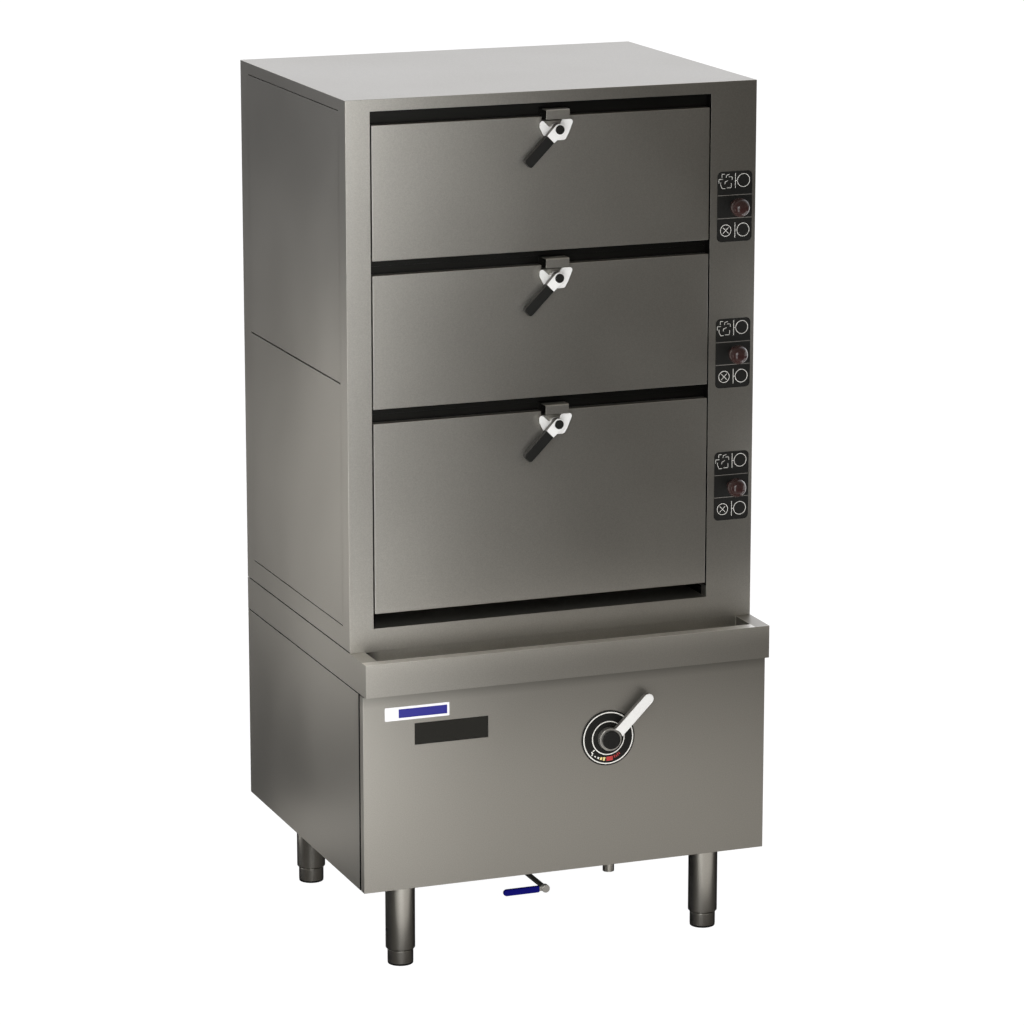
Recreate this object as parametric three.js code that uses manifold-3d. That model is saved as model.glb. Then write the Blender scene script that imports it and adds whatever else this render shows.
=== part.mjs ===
// Steamer cabinet: three steam chambers with drop-down doors over a gas fired base on legs.
// Millimetres. X runs to the right, Y from front to back, Z up from the floor.
// In this file y = 0 is the front face of the upper case; the last lines centre the whole cabinet.
import * as THREE from "three";
import { RoundedBoxGeometry } from "three/addons/geometries/RoundedBoxGeometry.js";
import { mergeVertices } from "three/addons/utils/BufferGeometryUtils.js";
import Module from "manifold-3d";

// Outer sizes of the upper case
const cabinetWidth = 900;
const caseDepth = 695;
const topBandHeight = 24.5;
const topGapHeight = 28.2;
const doorGapHeight = 29.5;
const shortDoorHeight = 276.3;
const tallDoorHeight = 399.6;
const sillGapHeight = 30.4;
const bottomBandHeight = 48.2;
const leftStileWidth = 52.4;
const rightStileWidth = 102.6;
const stileWrap = 43.6;
const backWrap = 52;
const sidePanelJoinHeight = 560;

// Sheet metal
const sheet = 1.5;
const bendRadius = 3;
const panelReturn = 15;
const seam = 0.8;
const seat = 0.3;
const overrun = 5;

// Hob band with its drip gutter
const hobBandHeight = 70;
const hobOverhang = 100.5;
const gutterFrontRim = 25;
const gutterSideRim = 33;
const gutterBackRim = 5;
const gutterDepth = 36;

// Base
const baseHeight = 423.4;
const baseOverhang = 80;
const baseFrontWrap = 20;
const floorLip = 25;

// Legs and adjustable feet
const legTubeLength = 152;
const legTubeDiameter = 62.4;
const legWall = 3;
const legSideInset = 105;
const legFrontInset = 76.5;
const legBackInset = 105;
const legFlangeWidth = 90;
const legFlangeThickness = 4;
const legFlangeHoleDiameter = 7;
const legTubeChamfer = 2.5;
const footDiameter = 54.6;
const footExposed = 34;
const footPadThickness = 3;
const footPadInset = 1.2;
const footChamfer = 2;
const footStemDiameter = 16;
const footStemLength = 70;
const footTravelUp = 20;
const legPlugThickness = 14;

// Doors
const doorSideGap = 3;
const doorThickness = 19.5;
const hingeSetback = 8;
const hingePinDiameter = 8;
const hingePinReach = 10.5;
const hingeClearance = 0.3;
const doorPanRise = 4;
const doorPanInset = 12;
const drainSlotLength = 30;
const drainSlotWidth = 5;
const gasketThickness = 6.2;
const gasketWidth = 14;
const gasketRadius = 12;
const gasketMargin = 18;

// Steam chambers and their racks
const mouthRecess = 26;
const mouthSideMargin = 40;
const mouthEndMargin = 36;
const mouthRadius = 8;
const chamberRearSpace = 109;
const flangeOverlap = 12;
const steamInletDiameter = 44;
const riserDiameter = 44;
const riserWall = 2;
const riserGap = 8;
const riserFlangeDiameter = 52;
const riserFlangeThickness = 4;
const rackRodDiameter = 8;
const rackClearance = 10;
const rackFootHeight = 25;
const rackBars = 7;

// Strike plates over the doors
const strikeWidth = 51;
const strikeThickness = 2;
const strikeRise = 15.7;
const strikeReach = 20;
const strikeDrop = 4.3;
const strikeTabHeight = 12;
const strikeRivetDiameter = 6;
const strikeRivetHeight = 1;
const notchClearance = 2.5;
const notchDepth = 9;

// Latch levers
const latchDrop = 24.6;
const latchPinDiameter = 9;
const latchBossDiameter = 20;
const latchBossHeight = 7.5;
const latchCapDiameter = 18.5;
const latchCapHeight = 3;
const latchClearance = 0.3;
const clawRadius = 29;
const clawThickness = 3;
const clawSetback = 9.5;
const hornRadius = 8.5;
const hornSpread = 27;
const hornRise = 10.5;
const latchHubDiameter = 24;
const leverFront = 29;
const leverBack = 15.5;
const leverWidth = 22;
const leverHeadReach = 30;
const leverAngle = THREE.MathUtils.degToRad(225);
const tangWidth = 12;
const tangThickness = 5;
const tangReach = 95;
const gripWidth = 20;
const gripThickness = 14;
const gripLength = 78;

// Steam valve pulls on the right stile
const knobDiameter = 40;
const knobReach = 36;
const knobRodDiameter = 10;
const knobCollarDiameter = 17;
const knobCollarLength = 9;
const knobSetFromRight = 51;
const knobGuideDiameter = 22;
const knobGuideLength = 40;
const knobTailLength = 90;
const knobTipDiameter = 16;
const knobTipLength = 6;
const topKnobDrop = 206;
const middleKnobDrop = 210.5;
const bottomKnobDrop = 189.6;

// Gas control on the base
const dialDiameter = 119.2;
const dialThickness = 2;
const dialFromRight = 358.4;
const dialBelowBaseTop = 144;
const dialBoreDiameter = 34;
const gasHubDiameter = 49;
const gasHubHeight = 17;
const gasLeverLength = 121;
const gasLeverWidth = 24;
const gasLeverThickness = 13;
const gasLeverFront = 25;
const gasLeverAngle = THREE.MathUtils.degToRad(45);
const gasCapDiameter = 39;
const gasCapHeight = 6;
const gasCapBevel = 1.5;
const gasSpindleDiameter = 12;
const gasSpindleLength = 55;
const gasValveWidth = 60;
const gasValveHeight = 52;
const gasValveDepth = 62;
const gasFlangeDiameter = 80;
const gasFlangeThickness = 5;
const gasPipeDiameter = 21;
const gasPipeLength = 150;

// Window and bare plate on the base panel
const windowLeft = 112;
const windowWidth = 162;
const windowHeight = 43;
const windowBelowBaseTop = 70;
const windowFrameLip = 8;
const windowThickness = 3;
const windowSetback = 2;
const badgeLeft = 47;
const badgeWidth = 141;
const badgeHeight = 28.6;
const badgeBelowBaseTop = 30;
const badgeThickness = 1;
const badgeRadius = 2;

// Water tank, burner and drain inside the base
const tankSideSpace = 130;
const tankHeight = 190;
const tankWall = 2;
const tankRim = 25;
const tankRadius = 30;
const tankFrontSpace = 60;
const tankRearSpace = 45;
const tankSpoutDiameter = 34;
const burnerDiameter = 260;
const burnerTubeDiameter = 34;
const burnerPortDiameter = 8;
const burnerPorts = 6;
const burnerStemDiameter = 26;
const burnerHeight = 150;
const burnerFootWidth = 120;
const burnerFootThickness = 4;
const overflowDiameter = 25;
const overflowBelowFloor = 56;
const overflowWall = 2;
const overflowFlangeDiameter = 44;
const overflowFlangeThickness = 3;
const overflowFromLeft = 595.6;
const overflowFromPanel = 125;
const drainFromLeft = 401.2;
const drainBelowFloor = 34.5;
const drainBodyDiameter = 34;
const drainBodyLength = 70;
const drainBodySetback = 190;
const drainNeckDiameter = 24;
const drainStemDiameter = 9;
const drainStemSocket = 16;
const drainHubDiameter = 17;
const drainHubLength = 12;
const drainLeverWidth = 10;
const drainLeverThickness = 4;
const drainLeverLength = 94;
const drainSleeveDiameter = 14;
const drainSleeveThickness = 9;
const drainSleeveLength = 78;

// Facets round a full turn
const fineSides = 28;
const roundSides = 16;
const plainSides = 12;
const ringSides = 8;
const coarseSides = 6;

// Straight steps in a bend, a rounded corner and a round end
const bendSteps = 3;
const bendSegments = 1;
const cornerSteps = 3;
const endSteps = 6;

const weld = 1e-4;

const quarterTurn = Math.PI / 2;
const fullTurn = Math.PI * 2;

const wasm = await Module();
wasm.setup();

// A closed geometry as a solid that can be cut and joined.
function toSolid(geometry) {
  const bare = geometry.clone();
  bare.deleteAttribute("normal");
  bare.deleteAttribute("uv");
  const merged = mergeVertices(bare, weld);
  return new wasm.Manifold(
    new wasm.Mesh({
      numProp: 3,
      vertProperties: merged.attributes.position.array,
      triVerts: new Uint32Array(merged.index.array),
    }),
  );
}

// A solid back as a geometry with flat facets.
function toGeometry(solid) {
  const mesh = solid.getMesh();
  const indexed = new THREE.BufferGeometry();
  indexed.setAttribute("position", new THREE.BufferAttribute(mesh.vertProperties, mesh.numProp));
  indexed.setIndex(new THREE.BufferAttribute(mesh.triVerts, 1));
  const flat = indexed.toNonIndexed();
  flat.computeVertexNormals();
  return flat;
}

const join = (...solids) => solids.reduce((whole, next) => whole.add(next));
const cut = (solid, ...tools) => tools.reduce((left, tool) => left.subtract(tool), solid);

// A block between two limits on each axis.
function block([x0, x1], [y0, y1], [z0, z1]) {
  const geometry = new THREE.BoxGeometry(x1 - x0, y1 - y0, z1 - z0);
  geometry.translate((x0 + x1) / 2, (y0 + y1) / 2, (z0 + z1) / 2);
  return toSolid(geometry);
}

// The same block with its edges bent round, or left square where the radius is zero.
function softBlock([x0, x1], [y0, y1], [z0, z1], radius = bendRadius) {
  if (!radius) return block([x0, x1], [y0, y1], [z0, z1]);
  const geometry = new RoundedBoxGeometry(x1 - x0, y1 - y0, z1 - z0, bendSegments, radius);
  geometry.translate((x0 + x1) / 2, (y0 + y1) / 2, (z0 + z1) / 2);
  return toSolid(geometry);
}

// A folded tray of sheet: a shallow box with one side open. open names that side, such as "x-" or
// "y+".
function tray(x, y, z, open, radius = bendRadius) {
  const limits = { x, y, z };
  const outer = {};
  const inner = {};
  for (const axis of ["x", "y", "z"]) {
    const [low, high] = limits[axis];
    const lowOpen = open === axis + "-";
    const highOpen = open === axis + "+";
    outer[axis] = [lowOpen ? low - overrun : low, highOpen ? high + overrun : high];
    inner[axis] = [lowOpen ? low - overrun : low + sheet, highOpen ? high + overrun : high - sheet];
  }
  const shell = softBlock(outer.x, outer.y, outer.z, radius).intersect(block(x, y, z));
  return cut(shell, block(inner.x, inner.y, inner.z));
}

// A drum about an axis through a point, from one end to the other.
function drum(radius, axis, [from, to], [a, b] = [0, 0], sides = roundSides) {
  const geometry = new THREE.CylinderGeometry(radius, radius, to - from, sides);
  const middle = (from + to) / 2;
  if (axis === "x") geometry.rotateZ(-quarterTurn).translate(middle, a, b);
  if (axis === "y") geometry.translate(a, middle, b);
  if (axis === "z") geometry.rotateX(quarterTurn).translate(a, b, middle);
  return toSolid(geometry);
}

// The corner radius of a faceted bore whose flats clear a round piece by a given gap.
const boreRadius = (radius, gap, sides = plainSides) => (radius + gap) / Math.cos(Math.PI / sides);

// A turned piece. The profile's points are radius and height along the axis.
function turned(points, axis, sides = roundSides) {
  const profile = points.map(([radius, height]) => new THREE.Vector2(radius, height));
  const geometry = new THREE.LatheGeometry(profile, sides);
  if (axis === "z") geometry.rotateX(quarterTurn);
  if (axis === "-y") geometry.rotateX(Math.PI);
  return toSolid(geometry);
}

// A rectangle's outline with rounded corners, as a shape or as a hole.
function rounded(Outline, x0, x1, y0, y1, radius) {
  const outline = new Outline();
  outline.moveTo(x0 + radius, y0);
  outline.lineTo(x1 - radius, y0);
  outline.absarc(x1 - radius, y0 + radius, radius, -quarterTurn, 0, false);
  outline.lineTo(x1, y1 - radius);
  outline.absarc(x1 - radius, y1 - radius, radius, 0, quarterTurn, false);
  outline.lineTo(x0 + radius, y1);
  outline.absarc(x0 + radius, y1 - radius, radius, quarterTurn, Math.PI, false);
  outline.lineTo(x0, y0 + radius);
  outline.absarc(x0 + radius, y0 + radius, radius, Math.PI, Math.PI + quarterTurn, false);
  return outline;
}

// A plate whose outline is drawn as seen from the front, X to the right and Z up.
function frontPlate(shape, [front, back], curveSegments = cornerSteps) {
  const geometry = new THREE.ExtrudeGeometry(shape, {
    depth: back - front,
    bevelEnabled: false,
    curveSegments,
  });
  geometry.rotateX(quarterTurn).translate(0, back, 0);
  return toSolid(geometry);
}

// A bar whose section is drawn from above, X to the right and Y to the back.
function upright(points, [bottom, top]) {
  const shape = new THREE.Shape(points.map(([x, y]) => new THREE.Vector2(x, y)));
  const geometry = new THREE.ExtrudeGeometry(shape, { depth: top - bottom, bevelEnabled: false });
  geometry.translate(0, 0, bottom);
  return toSolid(geometry);
}

// Points of a quarter round from one angle, for a bent corner of a sheet.
function bend(centreX, centreY, radius, fromAngle, sweep = -quarterTurn, steps = bendSteps) {
  return Array.from({ length: steps + 1 }, (_, step) => {
    const angle = fromAngle + (sweep * step) / steps;
    return [centreX + radius * Math.cos(angle), centreY + radius * Math.sin(angle)];
  });
}

// Finishes
const finish = (color, roughness, metalness) =>
  new THREE.MeshStandardMaterial({ color, roughness, metalness });
const brushedSteel = finish(0x9b9992, 0.38, 0.95);
const innerSteel = finish(0x84837d, 0.45, 0.9);
const galvanised = finish(0x777872, 0.55, 0.85);
const castMetal = finish(0xdededa, 0.35, 0.6);
const darkSteel = finish(0x34322f, 0.5, 0.8);
const blackPlastic = finish(0x1b1b1b, 0.45, 0);
const blackRubber = finish(0x151515, 0.8, 0);
const maroonKnob = finish(0x3c2525, 0.2, 0);
const blueSleeve = finish(0x151573, 0.45, 0);
const palePlate = finish(0xe8e8ea, 0.4, 0.1);
const darkGlass = finish(0x12120f, 0.15, 0);
const brass = finish(0xb08d4c, 0.4, 0.9);
const castIron = finish(0x2f2f30, 0.8, 0.5);

// Levels and limits that several pieces share
const caseHeight =
  bottomBandHeight +
  sillGapHeight +
  tallDoorHeight +
  doorGapHeight +
  shortDoorHeight +
  doorGapHeight +
  shortDoorHeight +
  topGapHeight +
  topBandHeight;
const left = -cabinetWidth / 2;
const right = cabinetWidth / 2;
const baseBottom = footExposed + legTubeLength;
const baseTop = baseBottom + baseHeight;
const hobTop = baseTop + hobBandHeight;
const caseTop = hobTop + caseHeight;
const bandTop = hobTop + bottomBandHeight;
const skirtBottom = caseTop - topBandHeight;
const openingLeft = left + leftStileWidth;
const openingRight = right - rightStileWidth;
const baseFront = -baseOverhang;
const hobFront = -hobOverhang;

// The three tiers, from the bottom up, each with the level of its valve pull
const tiers = [];
let tierBottom = bandTop + sillGapHeight;
for (const [name, height, gapAbove, knobDrop] of [
  ["bottom", tallDoorHeight, doorGapHeight, bottomKnobDrop],
  ["middle", shortDoorHeight, doorGapHeight, middleKnobDrop],
  ["top", shortDoorHeight, topGapHeight, topKnobDrop],
]) {
  const doorTop = tierBottom + height;
  tiers.push({ name, height, gapAbove, doorBottom: tierBottom, doorTop, knobZ: doorTop - knobDrop });
  tierBottom = doorTop + gapAbove;
}

const cabinet = new THREE.Group();

// Adds one named piece to a group.
function place(parent, name, solid, material, position = [0, 0, 0]) {
  const mesh = new THREE.Mesh(toGeometry(solid), material);
  mesh.name = name;
  mesh.position.set(...position);
  parent.add(mesh);
  return mesh;
}

// A group whose own origin is a pivot or a centre, where the pieces round it are drawn.
function groupAt(parent, x, y, z) {
  const group = new THREE.Group();
  group.position.set(x, y, z);
  parent.add(group);
  return group;
}

// Upper case: the cover with its folded skirt
place(
  cabinet,
  "top_cover",
  tray([left, right], [0, caseDepth], [skirtBottom, caseTop], "z-"),
  brushedSteel,
);

// The steam pipe stands behind the chambers, at the middle of their mouths.
const mouthX = [openingLeft + mouthSideMargin, openingRight - mouthSideMargin];
const mouthZ = ({ doorBottom, doorTop }) => [doorBottom + mouthEndMargin, doorTop - mouthEndMargin];
const chamberBack = caseDepth - chamberRearSpace;
const chamberDepth = chamberBack - mouthRecess;
const chamberMiddleX = (mouthX[0] + mouthX[1]) / 2;
const riserY = chamberBack + riserGap + riserDiameter / 2;
const riserHole = drum(
  boreRadius(riserDiameter / 2, seat),
  "z",
  [baseTop + hobBandHeight / 2, bandTop + overrun],
  [chamberMiddleX, riserY],
  plainSides,
);

// Upper case: the band under the chambers, whose top is the floor of the sill gap
place(
  cabinet,
  "bottom_band",
  cut(tray([left, right], [0, caseDepth], [hobTop + seat, bandTop], "z-"), riserHole),
  brushedSteel,
);

// A front post of bent sheet. It wraps round the side, and returns at the door opening as far as
// the chamber mouths. outer and inner are the two corners in X, and hand is +1 where inner is right.
function stileSection(outer, inner, hand) {
  const outerBend = bend(bendRadius, bendRadius, bendRadius, Math.PI, quarterTurn);
  const innerBend = bend(0, bendRadius, bendRadius, -quarterTurn, quarterTurn);
  const reach = Math.abs(inner - outer) - bendRadius;
  const returnEnd = mouthRecess - seat;
  const points = [
    [0, stileWrap],
    ...outerBend,
    ...innerBend.map(([x, y]) => [x + reach, y]),
    [reach + bendRadius, returnEnd],
    [reach + bendRadius - sheet, returnEnd],
    [reach + bendRadius - sheet, sheet],
    [sheet, sheet],
    [sheet, stileWrap],
  ];
  const placed = points.map(([x, y]) => [outer + hand * x, y]);
  return hand > 0 ? placed : placed.reverse();
}

const stileLevels = [bandTop + seat, skirtBottom - seat];
const hingeHoles = tiers.map(({ doorBottom }) =>
  drum(
    boreRadius(hingePinDiameter / 2, hingeClearance),
    "x",
    [openingLeft - overrun, openingRight + overrun],
    [hingeSetback, doorBottom + hingeSetback],
    plainSides,
  ),
);
place(
  cabinet,
  "left_stile",
  cut(upright(stileSection(left, openingLeft, 1), stileLevels), ...hingeHoles),
  brushedSteel,
);

// The right post also carries the guide tubes of the three valve pulls.
const knobX = right - knobSetFromRight;
const rodBore = boreRadius(knobRodDiameter / 2, seat);
const guides = tiers.map(({ knobZ }) =>
  drum(
    knobGuideDiameter / 2,
    "y",
    [sheet / 2, sheet + knobGuideLength],
    [knobX, knobZ],
    plainSides,
  ),
);
const rodBores = tiers.map(({ knobZ }) =>
  drum(rodBore, "y", [-overrun, knobGuideLength + overrun], [knobX, knobZ], plainSides),
);
place(
  cabinet,
  "right_stile",
  cut(
    join(upright(stileSection(right, openingRight, -1), stileLevels), ...guides),
    ...rodBores,
    ...hingeHoles,
  ),
  brushedSteel,
);

// Upper case: the back, which wraps round both rear corners
place(
  cabinet,
  "back_panel",
  tray(
    [left, right],
    [caseDepth - backWrap, caseDepth],
    [bandTop + seat, skirtBottom - seat],
    "y-",
  ),
  brushedSteel,
);

// Upper case: two lift-off panels on each side, between the front post and the rear corner
const panelDepthLimits = [stileWrap + seam, caseDepth - backWrap - seam];
const panelJoin = caseTop - topBandHeight - sidePanelJoinHeight;
for (const [name, low, high] of [
  ["lower", bandTop + seam, panelJoin - seam / 2],
  ["upper", panelJoin + seam / 2, skirtBottom - seam],
]) {
  place(
    cabinet,
    `left_${name}_panel`,
    tray([left, left + panelReturn], panelDepthLimits, [low, high], "x+", 0),
    brushedSteel,
  );
  place(
    cabinet,
    `right_${name}_panel`,
    tray([right - panelReturn, right], panelDepthLimits, [low, high], "x-", 0),
    brushedSteel,
  );
}

// A steam chamber: a deep box with a flange round its mouth, which also closes the gaps round the door.
function steamChamber(tier, flangeBottom, flangeTop) {
  const [bottom, top] = mouthZ(tier);
  const flange = block(
    [openingLeft - flangeOverlap, openingRight + flangeOverlap],
    [mouthRecess, mouthRecess + sheet],
    [flangeBottom, flangeTop],
  );
  const shell = block(
    [mouthX[0] - sheet, mouthX[1] + sheet],
    [mouthRecess, chamberBack],
    [bottom - sheet, top + sheet],
  );
  const hollow = frontPlate(
    rounded(THREE.Shape, mouthX[0], mouthX[1], bottom, top, mouthRadius),
    [mouthRecess - overrun, chamberBack - sheet],
  );
  const inlet = drum(
    steamInletDiameter / 2,
    "y",
    [chamberBack - overrun, chamberBack + overrun],
    [chamberMiddleX, (bottom + top) / 2],
  );
  return cut(join(flange, shell), hollow, inlet);
}

// A rack of round bars that stands on four feet on the chamber's floor.
function shelfRack() {
  const radius = rackRodDiameter / 2;
  const halfWidth = (mouthX[1] - mouthX[0]) / 2 - rackClearance - radius;
  const halfDepth = chamberDepth / 2 - rackClearance - radius;
  const parts = [];
  const rod = (axis, span, at) => drum(radius, axis, span, at, coarseSides);
  for (const side of [-1, 1]) {
    parts.push(rod("y", [-halfDepth, halfDepth], [side * halfWidth, rackFootHeight]));
    parts.push(rod("x", [-halfWidth, halfWidth], [side * halfDepth, rackFootHeight]));
    for (const end of [-1, 1])
      parts.push(rod("z", [0, rackFootHeight + radius], [side * halfWidth, end * halfDepth]));
  }
  for (let bar = 1; bar <= rackBars; bar += 1) {
    const x = -halfWidth + (2 * halfWidth * bar) / (rackBars + 1);
    parts.push(rod("y", [-halfDepth, halfDepth], [x, rackFootHeight]));
  }
  return join(...parts);
}
const rack = shelfRack();

for (const [index, tier] of tiers.entries()) {
  const below = tiers[index - 1];
  const flangeBottom = below ? tier.doorBottom - doorGapHeight / 2 + seat : tier.doorBottom;
  const flangeTop =
    index === tiers.length - 1 ? caseTop - sheet - seat : tier.doorTop + tier.gapAbove / 2;
  place(
    cabinet,
    `steam_chamber_${tier.name}`,
    steamChamber(tier, flangeBottom, flangeTop),
    innerSteel,
  );
  place(cabinet, `shelf_rack_${tier.name}`, rack, innerSteel, [
    chamberMiddleX,
    mouthRecess + chamberDepth / 2,
    mouthZ(tier)[0] + seat,
  ]);
}

// Steam riser: a pipe up through the hob and the band, with a branch forward to each chamber
const branchLevel = (tier) => (mouthZ(tier)[0] + mouthZ(tier)[1]) / 2;
const riserTop = branchLevel(tiers[tiers.length - 1]) + riserDiameter;
const riserPipe = (radius, [from, to], branchFront) =>
  join(
    drum(radius, "z", [from, to], [chamberMiddleX, riserY], plainSides),
    ...tiers.map((tier) =>
      drum(radius, "y", [branchFront, riserY], [chamberMiddleX, branchLevel(tier)], plainSides),
    ),
  );
const riserBottom = hobTop - hobBandHeight / 2;
place(
  cabinet,
  "steam_riser",
  cut(
    join(
      riserPipe(riserDiameter / 2, [riserBottom, riserTop], chamberBack + seat),
      drum(
        riserFlangeDiameter / 2,
        "z",
        [bandTop + seat, bandTop + seat + riserFlangeThickness],
        [chamberMiddleX, riserY],
        plainSides,
      ),
    ),
    riserPipe(
      riserDiameter / 2 - riserWall,
      [riserBottom - overrun, riserTop - riserWall],
      chamberBack - overrun,
    ),
  ),
  innerSteel,
);

// A strike plate: a tab on the chamber flange, a shelf forward over the door and a lip turned down.
function strikePlate() {
  const halfWidth = strikeWidth / 2;
  const back = mouthRecess - seat;
  const shelfTop = strikeRise;
  const shelfBottom = shelfTop - strikeThickness;
  const section = new THREE.Shape(
    [
      [back, shelfTop],
      [-strikeReach + bendRadius, shelfTop],
      ...bend(
        -strikeReach + bendRadius,
        shelfTop - bendRadius,
        bendRadius,
        quarterTurn,
        quarterTurn,
      ).slice(1),
      [-strikeReach, -strikeDrop],
      [-strikeReach + strikeThickness, -strikeDrop],
      [-strikeReach + strikeThickness, shelfBottom],
      [back - strikeThickness, shelfBottom],
      [back - strikeThickness, shelfBottom - strikeTabHeight],
      [back, shelfBottom - strikeTabHeight],
    ].map(([y, z]) => new THREE.Vector2(y, z)),
  );
  const geometry = new THREE.ExtrudeGeometry(section, { depth: strikeWidth, bevelEnabled: false });
  const basis = new THREE.Matrix4().makeBasis(
    new THREE.Vector3(0, 1, 0),
    new THREE.Vector3(0, 0, 1),
    new THREE.Vector3(1, 0, 0),
  );
  geometry.applyMatrix4(basis).translate(-halfWidth, 0, 0);
  const rivets = [-1, 1].map((side) =>
    drum(
      strikeRivetDiameter / 2,
      "y",
      [back - strikeThickness - strikeRivetHeight, back],
      [(side * strikeWidth) / 4, shelfBottom - strikeTabHeight / 2],
      ringSides,
    ),
  );
  return join(toSolid(geometry), ...rivets);
}
const strike = strikePlate();

// Where a latch turns, counted up from the door's hinge line
const latchRise = ({ height }) => height - latchDrop - hingeSetback;

// A door of folded sheet, drawn about its hinge line, with hinge pins at its lower corners.
function doorPanel(tier) {
  const front = -hingeSetback;
  const back = front + doorThickness;
  const bottom = -hingeSetback;
  const top = bottom + tier.height;
  const x = [openingLeft + doorSideGap, openingRight - doorSideGap];
  const panX = [mouthX[0] + doorPanInset, mouthX[1] - doorPanInset];
  const panZ = [bottom + mouthEndMargin + doorPanInset, top - mouthEndMargin - doorPanInset];
  const shrink = ([low, high]) => [low + sheet, high - sheet];
  const slab = softBlock(x, [front, back], [bottom, top]);
  const pan = block(panX, [back - bendRadius, back + doorPanRise], panZ);
  const hollow = block(shrink(x), shrink([front, back]), shrink([bottom, top]));
  const panHollow = block(shrink(panX), [back - 2 * sheet, back + doorPanRise - sheet], shrink(panZ));
  const notchHalf = strikeWidth / 2 + notchClearance;
  const notchWall = block(
    [-notchHalf - sheet, notchHalf + sheet],
    [front, back],
    [top - notchDepth - sheet, top],
  );
  const notch = block(
    [-notchHalf, notchHalf],
    [front - overrun, back + overrun],
    [top - notchDepth, top + overrun],
  );
  const drains = [-1, 1].map((side) =>
    block(
      [chamberMiddleX + side * drainSlotLength, chamberMiddleX + side * drainSlotLength * 2].sort(
        (a, b) => a - b,
      ),
      [back - 2 * sheet - drainSlotWidth, back - 2 * sheet],
      [bottom - overrun, bottom + 2 * sheet],
    ),
  );
  const pins = [
    [x[0] - hingePinReach, x[0] + bendRadius],
    [x[1] - bendRadius, x[1] + hingePinReach],
  ].map((span) => drum(hingePinDiameter / 2, "x", span, [0, 0], plainSides));
  const pivot = [0, latchRise(tier)];
  const bossFront = front - latchBossHeight;
  const capBack = front - leverFront - latchClearance;
  const latchPost = join(
    drum(latchBossDiameter / 2, "y", [bossFront, front + sheet], pivot, plainSides),
    drum(latchPinDiameter / 2, "y", [capBack - sheet, front], pivot, plainSides),
    drum(latchCapDiameter / 2, "y", [capBack - latchCapHeight, capBack], pivot),
  );
  const shell = cut(join(slab, pan), join(hollow, panHollow).subtract(notchWall), notch, ...drains);
  return join(shell, latchPost, ...pins);
}

// The seal on the door's inner face, an endless rubber frame.
function doorGasket(tier) {
  const back = doorThickness - hingeSetback;
  const [bottom, top] = [mouthEndMargin - hingeSetback, tier.height - mouthEndMargin - hingeSetback];
  const grow = gasketMargin;
  const shrinkBy = gasketMargin - gasketWidth;
  const shape = rounded(
    THREE.Shape,
    mouthX[0] - grow,
    mouthX[1] + grow,
    bottom - grow,
    top + grow,
    gasketRadius,
  );
  shape.holes.push(
    rounded(
      THREE.Path,
      mouthX[0] - shrinkBy,
      mouthX[1] + shrinkBy,
      bottom - shrinkBy,
      top + shrinkBy,
      gasketRadius - gasketWidth / 2,
    ),
  );
  return frontPlate(shape, [back + seat, back + gasketThickness]);
}

// The claw: a flat shield with two round horns and a notch between them, seen from the front.
function clawShape() {
  const shape = new THREE.Shape();
  const outward = Math.atan2(hornRise, hornSpread);
  const lowerLeft = Math.PI + outward;
  const hub = latchHubDiameter / 2;
  const notchAngle = 0.75 * quarterTurn;
  shape.absarc(0, 0, clawRadius, lowerLeft, fullTurn - outward, false);
  shape.absarc(hornSpread, hornRise, hornRadius, -outward, quarterTurn + outward, false);
  shape.lineTo(hub * Math.cos(notchAngle), hub * Math.sin(notchAngle));
  shape.lineTo(-hub * Math.cos(notchAngle), hub * Math.sin(notchAngle));
  shape.absarc(-hornSpread, hornRise, hornRadius, quarterTurn - outward, Math.PI + outward, false);
  shape.closePath();
  return shape;
}

// The latch lever about its pivot on the door face: claw at the back, hub, head and tang for the grip.
function latchLever() {
  const claw = frontPlate(clawShape(), [-clawSetback - clawThickness, -clawSetback], endSteps);
  const hub = drum(latchHubDiameter / 2, "y", [-leverFront, -latchBossHeight - latchClearance]);
  const head = new THREE.Shape();
  const half = leverWidth / 2;
  head.moveTo(0, -half);
  head.lineTo(leverHeadReach, -half);
  head.lineTo(leverHeadReach, half);
  head.lineTo(0, half);
  head.closePath();
  const arm = frontPlate(head, [-leverFront, -leverBack]);
  const middle = (leverFront + leverBack) / 2;
  const tang = block(
    [leverHeadReach - bendRadius, tangReach],
    [-middle - tangThickness / 2, -middle + tangThickness / 2],
    [-tangWidth / 2, tangWidth / 2],
  );
  const bore = drum(
    boreRadius(latchPinDiameter / 2, latchClearance),
    "y",
    [-leverFront - overrun, overrun],
    [0, 0],
    plainSides,
  );
  const turn = THREE.MathUtils.radToDeg(-leverAngle);
  return cut(join(claw, hub, join(arm, tang).rotate([0, turn, 0])), bore);
}

// The black grip, a rounded sleeve with a blind slot for the tang.
function latchGrip() {
  const start = leverHeadReach + seat;
  const middle = (leverFront + leverBack) / 2;
  const half = gripWidth / 2;
  const outline = new THREE.Shape();
  const end = start + gripLength;
  outline.moveTo(start, -half);
  outline.lineTo(end - half, -half);
  outline.absarc(end - half, 0, half, -quarterTurn, quarterTurn, false);
  outline.lineTo(start, half);
  outline.closePath();
  const body = frontPlate(outline, [-middle - gripThickness / 2, -middle + gripThickness / 2], endSteps);
  const slot = block(
    [start - overrun, tangReach + seat],
    [-middle - tangThickness / 2 - seat, -middle + tangThickness / 2 + seat],
    [-tangWidth / 2 - seat, tangWidth / 2 + seat],
  );
  return cut(body, slot).rotate([0, THREE.MathUtils.radToDeg(-leverAngle), 0]);
}
const lever = latchLever();
const grip = latchGrip();

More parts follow.
